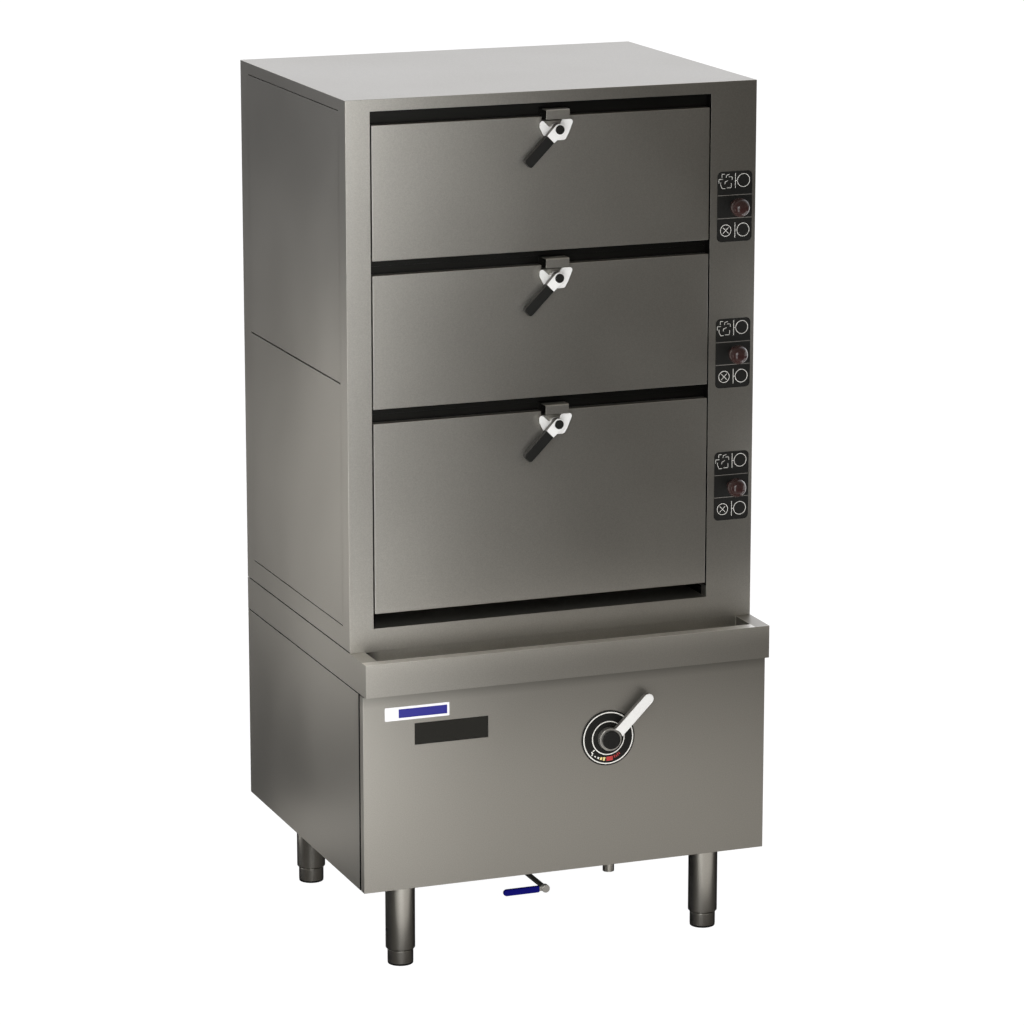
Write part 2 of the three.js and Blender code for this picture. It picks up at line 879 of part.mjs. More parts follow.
// A ball on a rod, drawn from the post's front face. The collar stops it, and a tip stops it behind.
function valveKnob() {
  const radius = knobDiameter / 2;
  const ball = toSolid(new THREE.SphereGeometry(radius, roundSides, ringSides));
  const tipStart = knobTailLength - knobTipLength;
  const along = (diameter, span) => drum(diameter / 2, "y", span, [0, 0], plainSides);
  return join(
    ball.translate([0, -knobReach, 0]),
    along(knobCollarDiameter, [-seat - knobCollarLength, -seat]),
    along(knobRodDiameter, [-knobReach, knobTailLength]),
    along(knobTipDiameter, [tipStart, knobTailLength]),
  );
}
const knob = valveKnob();

for (const tier of tiers) {
  place(cabinet, `strike_${tier.name}`, strike, brushedSteel, [0, 0, tier.doorTop]);
  const door = groupAt(cabinet, 0, hingeSetback, tier.doorBottom + hingeSetback);
  place(door, `door_${tier.name}`, doorPanel(tier), brushedSteel);
  place(door, `door_gasket_${tier.name}`, doorGasket(tier), blackRubber);
  const latch = groupAt(door, 0, -hingeSetback, latchRise(tier));
  place(latch, `latch_lever_${tier.name}`, lever, castMetal);
  place(latch, `latch_grip_${tier.name}`, grip, blackPlastic);
  place(cabinet, `valve_knob_${tier.name}`, knob, maroonKnob, [knobX, 0, tier.knobZ]);
}

// Hob band: a deep folded slab with the open drip gutter in front of the upper case. The water tank
// hangs under its plate.
const gutterX = [left + gutterSideRim, right - gutterSideRim];
const gutterY = [hobFront + gutterFrontRim, -gutterBackRim];
const hobShell = tray([left, right], [hobFront, caseDepth], [baseTop + seat, hobTop], "z-");
const hobReturn = block(
  [left + sheet, right - sheet],
  [hobFront + sheet / 2, baseFront + baseFrontWrap],
  [baseTop + seat, baseTop + seat + sheet],
);
const gutterPan = block(
  [gutterX[0] - sheet, gutterX[1] + sheet],
  [gutterY[0] - sheet, gutterY[1] + sheet],
  [hobTop - gutterDepth - sheet, hobTop],
);
const gutterHollow = block(gutterX, gutterY, [hobTop - gutterDepth, hobTop + overrun]);
const tankX = [left + tankSideSpace, right - tankSideSpace];
const tankY = [tankFrontSpace, caseDepth - tankRearSpace];
place(
  cabinet,
  "hob_top",
  cut(join(hobShell, hobReturn, gutterPan), gutterHollow, riserHole),
  brushedSteel,
);

// Base: front panel with the window cut and the bore for the gas spindle
const windowX = [left + windowLeft, left + windowLeft + windowWidth];
const windowZ = [baseTop - windowBelowBaseTop - windowHeight, baseTop - windowBelowBaseTop];
const dialX = right - dialFromRight;
const dialZ = baseTop - dialBelowBaseTop;
const frontPanelShell = tray(
  [left, right],
  [baseFront, baseFront + baseFrontWrap],
  [baseBottom, baseTop],
  "y+",
);
const windowCut = block(windowX, [baseFront - overrun, baseFront + overrun], windowZ);
const spindleCut = drum(
  dialBoreDiameter / 2,
  "y",
  [baseFront - overrun, baseFront + overrun],
  [dialX, dialZ],
);
place(cabinet, "base_front_panel", cut(frontPanelShell, windowCut, spindleCut), brushedSteel);

// Base: sides, back and floor
const baseSideY = [baseFront + baseFrontWrap + seam, caseDepth - sheet - seam];
place(
  cabinet,
  "base_left_side",
  tray([left, left + panelReturn], baseSideY, [baseBottom, baseTop], "x+", 0),
  brushedSteel,
);
place(
  cabinet,
  "base_right_side",
  tray([right - panelReturn, right], baseSideY, [baseBottom, baseTop], "x-", 0),
  brushedSteel,
);
place(
  cabinet,
  "base_back",
  block([left, right], [caseDepth - sheet, caseDepth], [baseBottom, baseTop]),
  brushedSteel,
);

// Two pipes go down through the floor: the overflow and the tank's drain.
const overflowX = left + overflowFromLeft;
const overflowY = baseFront + overflowFromPanel;
const drainX = left + drainFromLeft;
const drainY = baseFront + drainBodySetback;
const pipeHoles = [
  drum(
    boreRadius(overflowDiameter / 2, seat),
    "z",
    [0, baseTop],
    [overflowX, overflowY],
    plainSides,
  ),
  drum(boreRadius(drainNeckDiameter / 2, seat, roundSides), "z", [0, baseTop], [drainX, drainY]),
];
const floorX = [left + panelReturn + seat, right - panelReturn - seat];
const floorY = [baseFront + baseFrontWrap + seat, caseDepth - sheet - seat];
place(
  cabinet,
  "base_floor",
  cut(tray(floorX, floorY, [baseBottom, baseBottom + floorLip], "z+", 0), ...pipeHoles),
  galvanised,
);

// The dark window behind the panel, with a lip held behind the cut
place(
  cabinet,
  "sight_window",
  join(
    block(
      windowX.map((x, side) => x + (side ? -seat : seat)),
      [baseFront + windowSetback - sheet, baseFront + windowSetback + windowThickness],
      windowZ.map((z, side) => z + (side ? -seat : seat)),
    ),
    block(
      windowX.map((x, side) => x + (side ? windowFrameLip : -windowFrameLip)),
      [baseFront + sheet + seat, baseFront + sheet + seat + windowThickness],
      windowZ.map((z, side) => z + (side ? windowFrameLip : -windowFrameLip)),
    ),
  ),
  darkGlass,
);

// The bare plate above the window
place(
  cabinet,
  "badge_plate",
  frontPlate(
    rounded(
      THREE.Shape,
      left + badgeLeft,
      left + badgeLeft + badgeWidth,
      baseTop - badgeBelowBaseTop - badgeHeight,
      baseTop - badgeBelowBaseTop,
      badgeRadius,
    ),
    [baseFront - seat - badgeThickness, baseFront - seat],
  ),
  palePlate,
);

// Gas control, drawn about the spindle on the panel's face
const gasControl = groupAt(cabinet, dialX, baseFront, dialZ);
const spindleBore = boreRadius(gasSpindleDiameter / 2, seat);
place(
  gasControl,
  "dial_plate",
  cut(
    drum(dialDiameter / 2, "y", [-seat - dialThickness, -seat], [0, 0], fineSides),
    drum(spindleBore, "y", [-overrun, overrun], [0, 0], plainSides),
  ),
  blackPlastic,
);

// The valve: a brass body on a flange behind the panel, with its pipe going back
const valveFront = sheet + seat;
place(
  gasControl,
  "gas_valve",
  cut(
    join(
      drum(gasFlangeDiameter / 2, "y", [valveFront, valveFront + gasFlangeThickness]),
      softBlock(
        [-gasValveWidth / 2, gasValveWidth / 2],
        [valveFront + sheet, valveFront + gasValveDepth],
        [-gasValveHeight / 2, gasValveHeight / 2],
        bendRadius * 2,
      ),
      drum(
        gasPipeDiameter / 2,
        "y",
        [valveFront + gasValveDepth - overrun, valveFront + gasValveDepth + gasPipeLength],
        [0, 0],
        plainSides,
      ),
    ),
    drum(spindleBore, "y", [-overrun, gasSpindleLength + seat], [0, 0], plainSides),
  ),
  brass,
);

// The lever: hub and flat arm with a round end. Its spindle goes into the valve.
function gasLeverSolid() {
  const hubBack = -seat - dialThickness - seat;
  const half = gasLeverWidth / 2;
  const tip = gasLeverLength - half;
  const outline = new THREE.Shape();
  outline.moveTo(0, -half);
  outline.lineTo(tip, -half);
  outline.absarc(tip, 0, half, -quarterTurn, quarterTurn, false);
  outline.lineTo(0, half);
  outline.closePath();
  const arm = frontPlate(outline, [-gasLeverFront, -gasLeverFront + gasLeverThickness], endSteps);
  const turn = THREE.MathUtils.radToDeg(-gasLeverAngle);
  const capSeat = drum(
    gasCapDiameter / 2 + seat,
    "y",
    [-gasLeverFront - overrun, -gasHubHeight],
    [0, 0],
    fineSides,
  );
  return join(
    cut(
      join(
        drum(gasHubDiameter / 2, "y", [-gasHubHeight, hubBack], [0, 0], fineSides),
        arm.rotate([0, turn, 0]),
      ),
      capSeat,
    ),
    drum(gasSpindleDiameter / 2, "y", [-gasHubHeight + sheet, gasSpindleLength], [0, 0], plainSides),
  );
}
const gasLeverGroup = groupAt(gasControl, 0, 0, 0);
place(gasLeverGroup, "gas_lever", gasLeverSolid(), castMetal);
const capBack = gasHubHeight + seat;
const capFront = capBack + gasCapHeight;
place(
  gasLeverGroup,
  "gas_lever_cap",
  turned(
    [
      [0, capBack],
      [gasCapDiameter / 2, capBack],
      [gasCapDiameter / 2, capFront - gasCapBevel],
      [gasCapDiameter / 2 - gasCapBevel, capFront],
      [0, capFront],
    ],
    "-y",
    fineSides,
  ),
  blackPlastic,
);

// Water tank: a pan hung by its rim under the hob plate, with a spout down to the drain valve
const tankTop = hobTop - sheet - seat;
const tankBottom = tankTop - tankHeight;
const tankOutline = (grow) =>
  rounded(
    THREE.Shape,
    tankX[0] - grow,
    tankX[1] + grow,
    tankY[0] - grow,
    tankY[1] + grow,
    tankRadius + grow,
  );
const slabOf = (shape, [low, high]) =>
  toSolid(
    new THREE.ExtrudeGeometry(shape, {
      depth: high - low,
      bevelEnabled: false,
      curveSegments: cornerSteps,
    }).translate(0, 0, low),
  );
const spoutBottom = baseBottom + floorLip;
place(
  cabinet,
  "water_tank",
  cut(
    join(
      slabOf(tankOutline(tankWall), [tankBottom, tankTop]),
      slabOf(tankOutline(tankRim), [tankTop - tankWall, tankTop]),
      drum(tankSpoutDiameter / 2, "z", [spoutBottom, tankBottom + tankWall], [drainX, drainY]),
    ),
    slabOf(tankOutline(0), [tankBottom + tankWall, tankTop + overrun]),
    drum(
      tankSpoutDiameter / 2 - tankWall,
      "z",
      [spoutBottom - overrun, tankTop],
      [drainX, drainY],
    ),
  ),
  innerSteel,
);

// Burner: a ring with flame ports, on a stem that stands on the floor
function burnerSolid() {
  const ringRadius = (burnerDiameter - burnerTubeDiameter) / 2;
  const ring = toSolid(
    new THREE.TorusGeometry(ringRadius, burnerTubeDiameter / 2, ringSides, roundSides),
  ).translate([0, 0, burnerHeight]);
  const spoke = drum(
    burnerStemDiameter / 2,
    "x",
    [-ringRadius, ringRadius],
    [0, burnerHeight],
    plainSides,
  );
  const stem = drum(burnerStemDiameter / 2, "z", [0, burnerHeight], [0, 0], plainSides);
  const half = burnerFootWidth / 2;
  const foot = block([-half, half], [-half, half], [0, burnerFootThickness]);
  const ports = Array.from({ length: burnerPorts }, (_, port) => {
    const angle = ((port + 1 / 2) * fullTurn) / burnerPorts;
    return drum(
      burnerPortDiameter / 2,
      "z",
      [burnerHeight + burnerTubeDiameter / 2 - overrun, burnerHeight + burnerTubeDiameter],
      [ringRadius * Math.cos(angle), ringRadius * Math.sin(angle)],
      coarseSides,
    );
  });
  return cut(join(ring, spoke, stem, foot), ...ports);
}
const tankMiddleY = (tankY[0] + tankY[1]) / 2;
place(cabinet, "burner", burnerSolid(), castIron, [0, tankMiddleY, baseBottom + sheet + seat]);

// Overflow pipe through the floor, hung by its flange
place(
  cabinet,
  "overflow_pipe",
  cut(
    join(
      drum(
        overflowDiameter / 2,
        "z",
        [baseBottom - overflowBelowFloor, baseBottom + 2 * floorLip],
        [overflowX, overflowY],
        plainSides,
      ),
      drum(
        overflowFlangeDiameter / 2,
        "z",
        [baseBottom + sheet + seat, baseBottom + sheet + seat + overflowFlangeThickness],
        [overflowX, overflowY],
        plainSides,
      ),
    ),
    drum(
      overflowDiameter / 2 - overflowWall,
      "z",
      [baseBottom - overflowBelowFloor - overrun, baseBottom + 2 * floorLip + overrun],
      [overflowX, overflowY],
      plainSides,
    ),
  ),
  innerSteel,
);

// Drain valve: a body lying under the floor with a neck up through it, worked from the front
const drainZ = baseBottom - drainBelowFloor;
const drain = groupAt(cabinet, drainX, drainY, drainZ);
const stemSocketBack = -drainBodyLength / 2 + drainStemSocket;
const drainBody = cut(
  join(
    drum(drainBodyDiameter / 2, "y", [-drainBodyLength / 2, drainBodyLength / 2]),
    drum(
      drainNeckDiameter / 2,
      "z",
      [0, spoutBottom - seat - drainZ],
      [0, 0],
      roundSides,
    ),
    drum(
      overflowFlangeDiameter / 2,
      "z",
      [
        drainBelowFloor + sheet + seat,
        drainBelowFloor + sheet + seat + overflowFlangeThickness,
      ],
    ),
  ),
  drum(
    boreRadius(drainStemDiameter / 2, seat),
    "y",
    [-drainBodyLength, stemSocketBack + seat],
    [0, 0],
    plainSides,
  ),
);
place(drain, "drain_valve", drainBody, brass);

// Drain lever: a long stem to the front edge, a hub, and a flat lever to the left with its sleeve
const drainLeverY = baseFront - drainY;
const drainLeverGroup = groupAt(drain, 0, 0, 0);
const sleeveOuter = -drainLeverLength;
const sleeveInner = sleeveOuter + drainSleeveLength;
const hubSpan = [drainLeverY - drainHubLength / 2, drainLeverY + drainHubLength / 2];
const bladeY = [drainLeverY - drainLeverThickness / 2, drainLeverY + drainLeverThickness / 2];
const bladeEnd = sleeveOuter + drainSleeveDiameter / 2;
place(
  drainLeverGroup,
  "drain_lever",
  join(
    drum(drainStemDiameter / 2, "y", [drainLeverY, stemSocketBack], [0, 0], plainSides),
    drum(drainHubDiameter / 2, "y", hubSpan),
    block([bladeEnd, 0], bladeY, [-drainLeverWidth / 2, drainLeverWidth / 2]),
  ),
  darkSteel,
);
const sleeveShape = new THREE.Shape();
const sleeveRadius = drainSleeveDiameter / 2;
sleeveShape.moveTo(sleeveInner, sleeveRadius);
sleeveShape.lineTo(sleeveOuter + sleeveRadius, sleeveRadius);
sleeveShape.absarc(
  sleeveOuter + sleeveRadius,
  0,
  sleeveRadius,
  quarterTurn,
  quarterTurn + Math.PI,
  false,
);
sleeveShape.lineTo(sleeveInner, -sleeveRadius);
sleeveShape.closePath();
place(
  drainLeverGroup,
  "drain_lever_sleeve",
  cut(
    frontPlate(
      sleeveShape,
      [drainLeverY - drainSleeveThickness / 2, drainLeverY + drainSleeveThickness / 2],
      endSteps,
    ),
    block(
      [bladeEnd - seat, overrun],
      [bladeY[0] - seat, bladeY[1] + seat],
      [-drainLeverWidth / 2 - seat, drainLeverWidth / 2 + seat],
    ),
  ),
  blueSleeve,
);

// A leg: a tube with a square flange on top and a threaded plug near its open bottom end.
function legSolid() {
  const outer = legTubeDiameter / 2;
  const inner = outer - legWall;
  const top = footExposed + legTubeLength - seat;
  const flangeBottom = top - legFlangeThickness;
  const plugBottom = footExposed + footTravelUp + footPadThickness + seat;
  const plugTop = plugBottom + legPlugThickness;
  const tube = turned(
    [
      [inner, footExposed],
      [outer - legTubeChamfer, footExposed],
      [outer, footExposed + legTubeChamfer],
      [outer, top],
      [inner, top],
      [inner, footExposed],
    ],
    "z",
  );
  const plug = cut(
    drum((inner + outer) / 2, "z", [plugBottom, plugTop]),
    drum(boreRadius(footStemDiameter / 2, seat, roundSides), "z", [0, top]),
  );
  const half = legFlangeWidth / 2;
  const flange = block([-half, half], [-half, half], [flangeBottom, top]);
  const holeAt = half - legFlangeHoleDiameter;
  const holes = [-1, 1].flatMap((x) =>
    [-1, 1].map((y) =>
      drum(
        legFlangeHoleDiameter / 2,
        "z",
        [flangeBottom - overrun, top + overrun],
        [x * holeAt, y * holeAt],
        coarseSides,
      ),
    ),
  );
  return join(tube, plug, cut(flange, ...holes));
}

// A foot: a turned cup on a rubber pad, with a stem up through the leg's plug.
function footSolid() {
  const radius = footDiameter / 2;
  const shoulder = footExposed - seat;
  const stem = footStemDiameter / 2;
  return turned(
    [
      [0, 0],
      [radius - footPadInset - footChamfer, 0],
      [radius - footPadInset, footChamfer / 2],
      [radius - footPadInset, footPadThickness],
      [radius, footPadThickness],
      [radius, shoulder - footChamfer],
      [radius - footChamfer, shoulder],
      [stem, shoulder],
      [stem, shoulder + footStemLength],
      [0, shoulder + footStemLength],
    ],
    "z",
  );
}
const leg = legSolid();
const foot = footSolid();
for (const [side, x] of [
  ["left", left + legSideInset],
  ["right", right - legSideInset],
])
  for (const [end, y] of [
    ["front", baseFront + legFrontInset],
    ["back", caseDepth - legBackInset],
  ]) {
    const corner = groupAt(cabinet, x, y, 0);
    place(corner, `leg_${end}_${side}`, leg, brushedSteel);
    place(corner, `foot_${end}_${side}`, foot, brushedSteel);
  }

// The origin is on the floor under the middle of the whole cabinet, from lever front to back.
cabinet.position.y = (baseOverhang + gasLeverFront - caseDepth) / 2;

export default cabinet;
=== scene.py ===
# %% [markdown]
# # A steamer cabinet
# A tall catering cabinet of folded stainless sheet. Three drop-down doors close three steam
# chambers, and a turning latch holds each door. A gas fired base with a drip gutter carries the
# case. Every solid of the construction is loaded first, and it gives each new piece its place.

# %% Load the construction
import math
from contextlib import contextmanager

import bmesh
import bpy
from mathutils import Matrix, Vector


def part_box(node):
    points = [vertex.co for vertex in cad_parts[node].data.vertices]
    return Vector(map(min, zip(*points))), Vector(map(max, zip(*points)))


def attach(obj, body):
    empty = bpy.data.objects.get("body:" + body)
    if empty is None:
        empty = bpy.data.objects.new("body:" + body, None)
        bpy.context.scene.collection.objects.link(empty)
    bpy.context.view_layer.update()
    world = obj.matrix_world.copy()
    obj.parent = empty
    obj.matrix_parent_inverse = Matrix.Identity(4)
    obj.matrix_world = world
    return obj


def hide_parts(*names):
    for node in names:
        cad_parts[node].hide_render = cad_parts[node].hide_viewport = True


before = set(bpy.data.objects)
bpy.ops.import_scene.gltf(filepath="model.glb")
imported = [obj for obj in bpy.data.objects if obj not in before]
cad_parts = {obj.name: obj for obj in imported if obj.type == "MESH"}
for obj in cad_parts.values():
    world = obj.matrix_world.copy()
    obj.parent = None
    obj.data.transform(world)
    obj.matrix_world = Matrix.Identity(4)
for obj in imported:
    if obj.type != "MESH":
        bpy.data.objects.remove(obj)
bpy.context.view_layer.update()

mm = 0.001

# %% [markdown]
# ## The camera
# The photograph was taken from the front left, from above the cabinet's top and with a long lens.
# A long lens far away keeps the upright edges nearly parallel. Place, aim and lens come from
# matching the corners of the case with the picture.

# %% Camera
camera_place = (-3.179, -8.3436, 2.9812)
camera_turn = 20.979
camera_tilt = 13.272
film_width = 36
farthest_seen = 200

camera_data = bpy.data.cameras.new("camera")
camera_data.lens = 150.209
camera_data.sensor_width = film_width
camera_data.clip_end = farthest_seen
camera = bpy.data.objects.new("camera", camera_data)
camera.location = camera_place
camera.rotation_euler = (math.radians(90 - camera_tilt), 0, math.radians(-camera_turn))
bpy.context.scene.collection.objects.link(camera)
bpy.context.scene.camera = camera
print("camera at", camera_place, "lens", camera_data.lens)

# %% [markdown]
# ## Floor and light
# The cabinet stands on an endless white floor, so the floor is nearly a light of its own. It lights
# the painted and plastic parts, but it isn't mirrored in the steel.

# %% Floor
bpy.context.scene.view_settings.view_transform = "Standard"
studio_white = 0.98
floor_size = 160


def studio_floor():
    bpy.ops.mesh.primitive_plane_add(size=floor_size, location=(0, 0, 0))
    floor = bpy.context.active_object
    floor.name = "studio_floor"
    paint = bpy.data.materials.new("white_floor")
    paint.use_nodes = True
    shader = paint.node_tree.nodes["Principled BSDF"]
    shader.inputs["Base Color"].default_value = (0.12, 0.12, 0.12, 1)
    shader.inputs["Roughness"].default_value = 0.9
    shader.inputs["Specular IOR Level"].default_value = 0
    shader.inputs["Emission Color"].default_value = (1, 1, 1, 1)
    shader.inputs["Emission Strength"].default_value = studio_white
    floor.data.materials.append(paint)
    floor.visible_glossy = False


studio_floor()
print("floor laid")

# %% [markdown]
# Steel shows what stands round it. The surroundings are four soft fields: bright or dim above and
# below, in front and behind. Behind and above they are bright and a little cool, which whitens the
# cabinet's top. In front they are dim and warm, so that the doors keep their deep grey. The camera
# itself sees a plain white wall in their place.

# %% Surroundings
def studio_sky(behind_above, front_above, behind_below, front_below):
    world = bpy.data.worlds.new("studio_sky")
    bpy.context.scene.world = world
    world.use_nodes = True
    nodes, links = world.node_tree.nodes, world.node_tree.links
    where = nodes.new("ShaderNodeTexCoord")
    split = nodes.new("ShaderNodeSeparateXYZ")
    links.new(where.outputs["Generated"], split.inputs[0])

    def blend(source, start, end, low, high):
        ramp = nodes.new("ShaderNodeMapRange")
        ramp.interpolation_type = "SMOOTHSTEP"
        ramp.inputs["From Min"].default_value = start
        ramp.inputs["From Max"].default_value = end
        links.new(source, ramp.inputs["Value"])
        for socket, value in (("To Min", low), ("To Max", high)):
            if isinstance(value, float):
                ramp.inputs[socket].default_value = value
            else:
                links.new(value, ramp.inputs[socket])
        return ramp.outputs["Result"]

    above = blend(split.outputs["Y"], -0.3, 0.5, front_above, behind_above)
    below = blend(split.outputs["Y"], -0.3, 0.5, front_below, behind_below)
    strength = blend(split.outputs["Z"], -0.1, 0.2, below, above)
    links.new(strength, nodes["Background"].inputs["Strength"])
    coolness = blend(split.outputs["Y"], -0.1, 0.3, 0.0, 1.0)
    hue = nodes.new("ShaderNodeMix")
    hue.data_type = "RGBA"
    hue.inputs["A"].default_value = (1.0, 0.93, 0.83, 1)
    hue.inputs["B"].default_value = (0.993, 1.0, 1.044, 1)
    links.new(coolness, hue.inputs["Factor"])
    links.new(hue.outputs["Result"], nodes["Background"].inputs["Color"])

    wall, seen, choose = (
        nodes.new("ShaderNodeBackground"), nodes.new("ShaderNodeLightPath"),
        nodes.new("ShaderNodeMixShader"),
    )
    wall.inputs["Color"].default_value = (studio_white, studio_white, studio_white, 1)
    links.new(seen.outputs["Is Camera Ray"], choose.inputs[0])
    links.new(nodes["Background"].outputs[0], choose.inputs[1])
    links.new(wall.outputs[0], choose.inputs[2])
    links.new(choose.outputs[0], nodes["World Output"].inputs["Surface"])


studio_sky(behind_above=1.04, front_above=0.2, behind_below=0.0, front_below=0.03)
print("surroundings set")

# %% [markdown]
# Wide soft panels stand close round the cabinet, as in a product studio. Two tall ones at the left
# front make the fall from light to dark over the doors, and the low ones light the base, the legs
# and the case above the gutter. The panels for the two sides stand behind the plane of the doors,
# because light from beside it would graze the front. Each one is set near the place where the
# camera would see it mirrored, so that little power is enough. Small ones glint in the valve balls.

# %% Soft panels
def soft_panel(name, place, aim, width, height, watts, colour):
    data = bpy.data.lights.new(name, "AREA")
    data.color = colour
    data.shape = "RECTANGLE"
    data.size, data.size_y = width, height
    data.energy = watts
    panel = bpy.data.objects.new(name, data)
    panel.location = place
    towards = Vector(aim) - Vector(place)
    panel.rotation_euler = towards.to_track_quat("-Z", "Y").to_euler()
    panel.visible_camera = False
    bpy.context.scene.collection.objects.link(panel)


warm, white = (1.0, 0.965, 0.915), (1, 1, 1)
for panel_values in (
    ("front_left_tall", (-0.75, -1.5, 0.95), (-0.75, 0, 0.95), 0.9, 1.9, 11.2, white),
    ("front_left_high", (-0.62, -1.5, 1.88), (-0.62, 0, 1.88), 0.9, 0.7, 4.9, white),
    ("base_right_low", (0.45, -1.05, 0.18), (0.45, 0, 0.18), 1.1, 0.34, 0.48, warm),
    ("base_left_low", (-0.3, -1.05, 0.2), (-0.3, 0, 0.2), 0.5, 0.38, 0.29, warm),
    ("side_front", (-1.3, -0.3, 0.8), (-0.45, -0.3, 0.8), 0.6, 0.9, 1.8, warm),
    ("side_middle", (-1.3, 0.8, 0.7), (-0.45, 0.2, 0.8), 0.5, 0.9, 1.9, warm),
    ("side_rear", (-2.2, 2.2, 0.9), (-0.45, 0.3, 0.9), 1.6, 1.6, 0.8, warm),
    ("side_low", (-0.78, 0.4, 0.06), (-0.45, -0.1, 0.25), 0.4, 0.12, 0.085, warm),
    ("leg_strip", (0.1, -0.8, 0.004), (0.1, -0.8, 1), 1.9, 0.5, 1.05, warm),
    ("left_low", (-0.55, -1.3, 0.5), (-0.55, 0, 0.5), 0.4, 0.5, 0.45, warm),
    ("right_side", (1.15, 0.4, 0.8), (0.45, 0.4, 0.8), 0.5, 1.3, 3.0, white),
    ("right_back", (2.6, 1.1, 0.8), (0.45, 0.1, 0.8), 1.8, 1.6, 4.0, white),
    ("ball_glint_1", (0.68, -0.37, 0.70), (0.408, -0.33, 0.97), 0.24, 0.24, 0.2, white),
    ("ball_glint_2", (0.68, -0.37, 0.98), (0.408, -0.33, 1.25), 0.24, 0.24, 0.2, white),
    ("ball_glint_3", (0.68, -0.37, 1.29), (0.408, -0.33, 1.56), 0.24, 0.24, 0.2, white),
    ("band_strip", (0.05, -0.5, 0.672), (0.05, 0, 0.672), 1.0, 0.05, 0.055, warm),
):
    soft_panel(*panel_values)
print("lights placed")

# %% [markdown]
# ## Working by hand, in code
# Each piece starts as a simple shape at its size and place, and is then worked in edit mode. Faces
# and edges are picked by where they are and which way they run or face. These few helpers do the
# picking, so each later step reads like the work at the bench. Two levels count as one when they
# are touching, and a face looks along an axis when its normal has at least the share facing of it.

# %% Helpers for picking
X, Y, Z = 0, 1, 2
touching = 0.01 * mm
facing = 0.9


def clear_selection():
    if bpy.context.mode != "OBJECT":
        bpy.ops.object.mode_set(mode="OBJECT")
    bpy.ops.object.select_all(action="DESELECT")


@contextmanager
def editing(piece):
    clear_selection()
    piece.select_set(True)
    bpy.context.view_layer.objects.active = piece
    bpy.ops.object.mode_set(mode="EDIT")
    yield
    bpy.ops.object.mode_set(mode="OBJECT")


def pick(piece, kind, test):
    """Selects the faces or edges of the piece in edit mode for which test says yes."""
    bpy.ops.mesh.select_mode(type=kind)
    bpy.ops.mesh.select_all(action="DESELECT")
    shape = bmesh.from_edit_mesh(piece.data)
    items = shape.faces if kind == "FACE" else shape.edges
    chosen = [item for item in items if test(item)]
    for item in chosen:
        item.select_set(True)
    bmesh.update_edit_mesh(piece.data)
    return len(chosen)


def middle(item):
    return sum((corner.co for corner in item.verts), Vector()) / len(item.verts)


def lies_at(item, axis, level):
    """True if every corner of the face or edge is at this level on the axis."""
    return all(abs(corner.co[axis] - level) < touching for corner in item.verts)


def runs_along(edge, axis, length):
    """True if the edge is longer than length, measured along the axis."""
    start, end = edge.verts
    return abs(start.co[axis] - end.co[axis]) > length


# %% [markdown]
# A primitive is only a start. A block is placed between two corners, and a drum between two ends
# on an axis. Both get their place applied to the mesh, so that every finished object sits at the
# origin, as the construction's own nodes do. Then edges are bevelled, planes are sliced through the
# piece and faces are taken out.

# %% Blocks and drums to start from
def named(name):
    piece = bpy.context.active_object
    piece.name = piece.data.name = name
    bpy.ops.object.transform_apply(location=True, rotation=True, scale=True)
    return piece


def block(name, low, high):
    clear_selection()
    low, high = Vector(low), Vector(high)
    bpy.ops.mesh.primitive_cube_add(size=1, location=(low + high) / 2, scale=high - low)
    return named(name)


def drum(name, radius, axis, start, end, centre, sides=48):
    """A round bar along an axis. centre is a point in X, Y, Z, of which the axis' own isn't used."""
    clear_selection()
    place = Vector(centre)
    place[axis] = (start + end) / 2
    turn = {X: (0, math.pi / 2, 0), Y: (math.pi / 2, 0, 0), Z: (0, 0, 0)}[axis]
    bpy.ops.mesh.primitive_cylinder_add(
        vertices=sides, radius=radius, depth=abs(end - start), location=place, rotation=turn
    )
    return named(name)


def round_edges(piece, radius, steps, test):
    """Bevels the edges for which test says yes, as a bend or a filed edge."""
    with editing(piece):
        pick(piece, "EDGE", test)
        bpy.ops.mesh.bevel(offset=radius, segments=steps, affect="EDGES")


def slice_at(piece, axis, level):
    """Cuts new edges into the piece where a level plane passes through it."""
    point, normal = [0, 0, 0], [0, 0, 0]
    point[axis], normal[axis] = level, 1
    with editing(piece):
        bpy.ops.mesh.select_all(action="SELECT")
        bpy.ops.mesh.bisect(plane_co=point, plane_no=normal)


def delete_faces(piece, test):
    with editing(piece):
        count = pick(piece, "FACE", test)
        bpy.ops.mesh.delete(type="FACE")
    return count


# %% [markdown]
# Modifiers finish a piece and are applied at once. Solidify gives a folded skin its thickness of
# steel, a Boolean cuts a window, and a Bevel with an angle limit breaks every sharp edge, because
# real edges always catch a thin line of light.

# %% Helpers for modifiers
def apply_modifier(piece, kind, **values):
    clear_selection()
    piece.select_set(True)
    bpy.context.view_layer.objects.active = piece
    modifier = piece.modifiers.new(kind.lower(), kind)
    for key, value in values.items():
        setattr(modifier, key, value)
    bpy.ops.object.modifier_apply(modifier=modifier.name)


def thicken(piece, thickness):
    apply_modifier(piece, "SOLIDIFY", thickness=thickness, offset=-1, use_even_offset=True)


def throw_away(*pieces):
    for piece in pieces:
        bpy.data.objects.remove(piece, do_unlink=True)


def cut_away(piece, *tools):
    for tool in tools:
        apply_modifier(piece, "BOOLEAN", operation="DIFFERENCE", object=tool, solver="EXACT")
        throw_away(tool)


def break_edges(piece, width, steps=2, angle=35):
    apply_modifier(
        piece, "BEVEL", width=width, segments=steps, limit_method="ANGLE",
        angle_limit=math.radians(angle),
    )


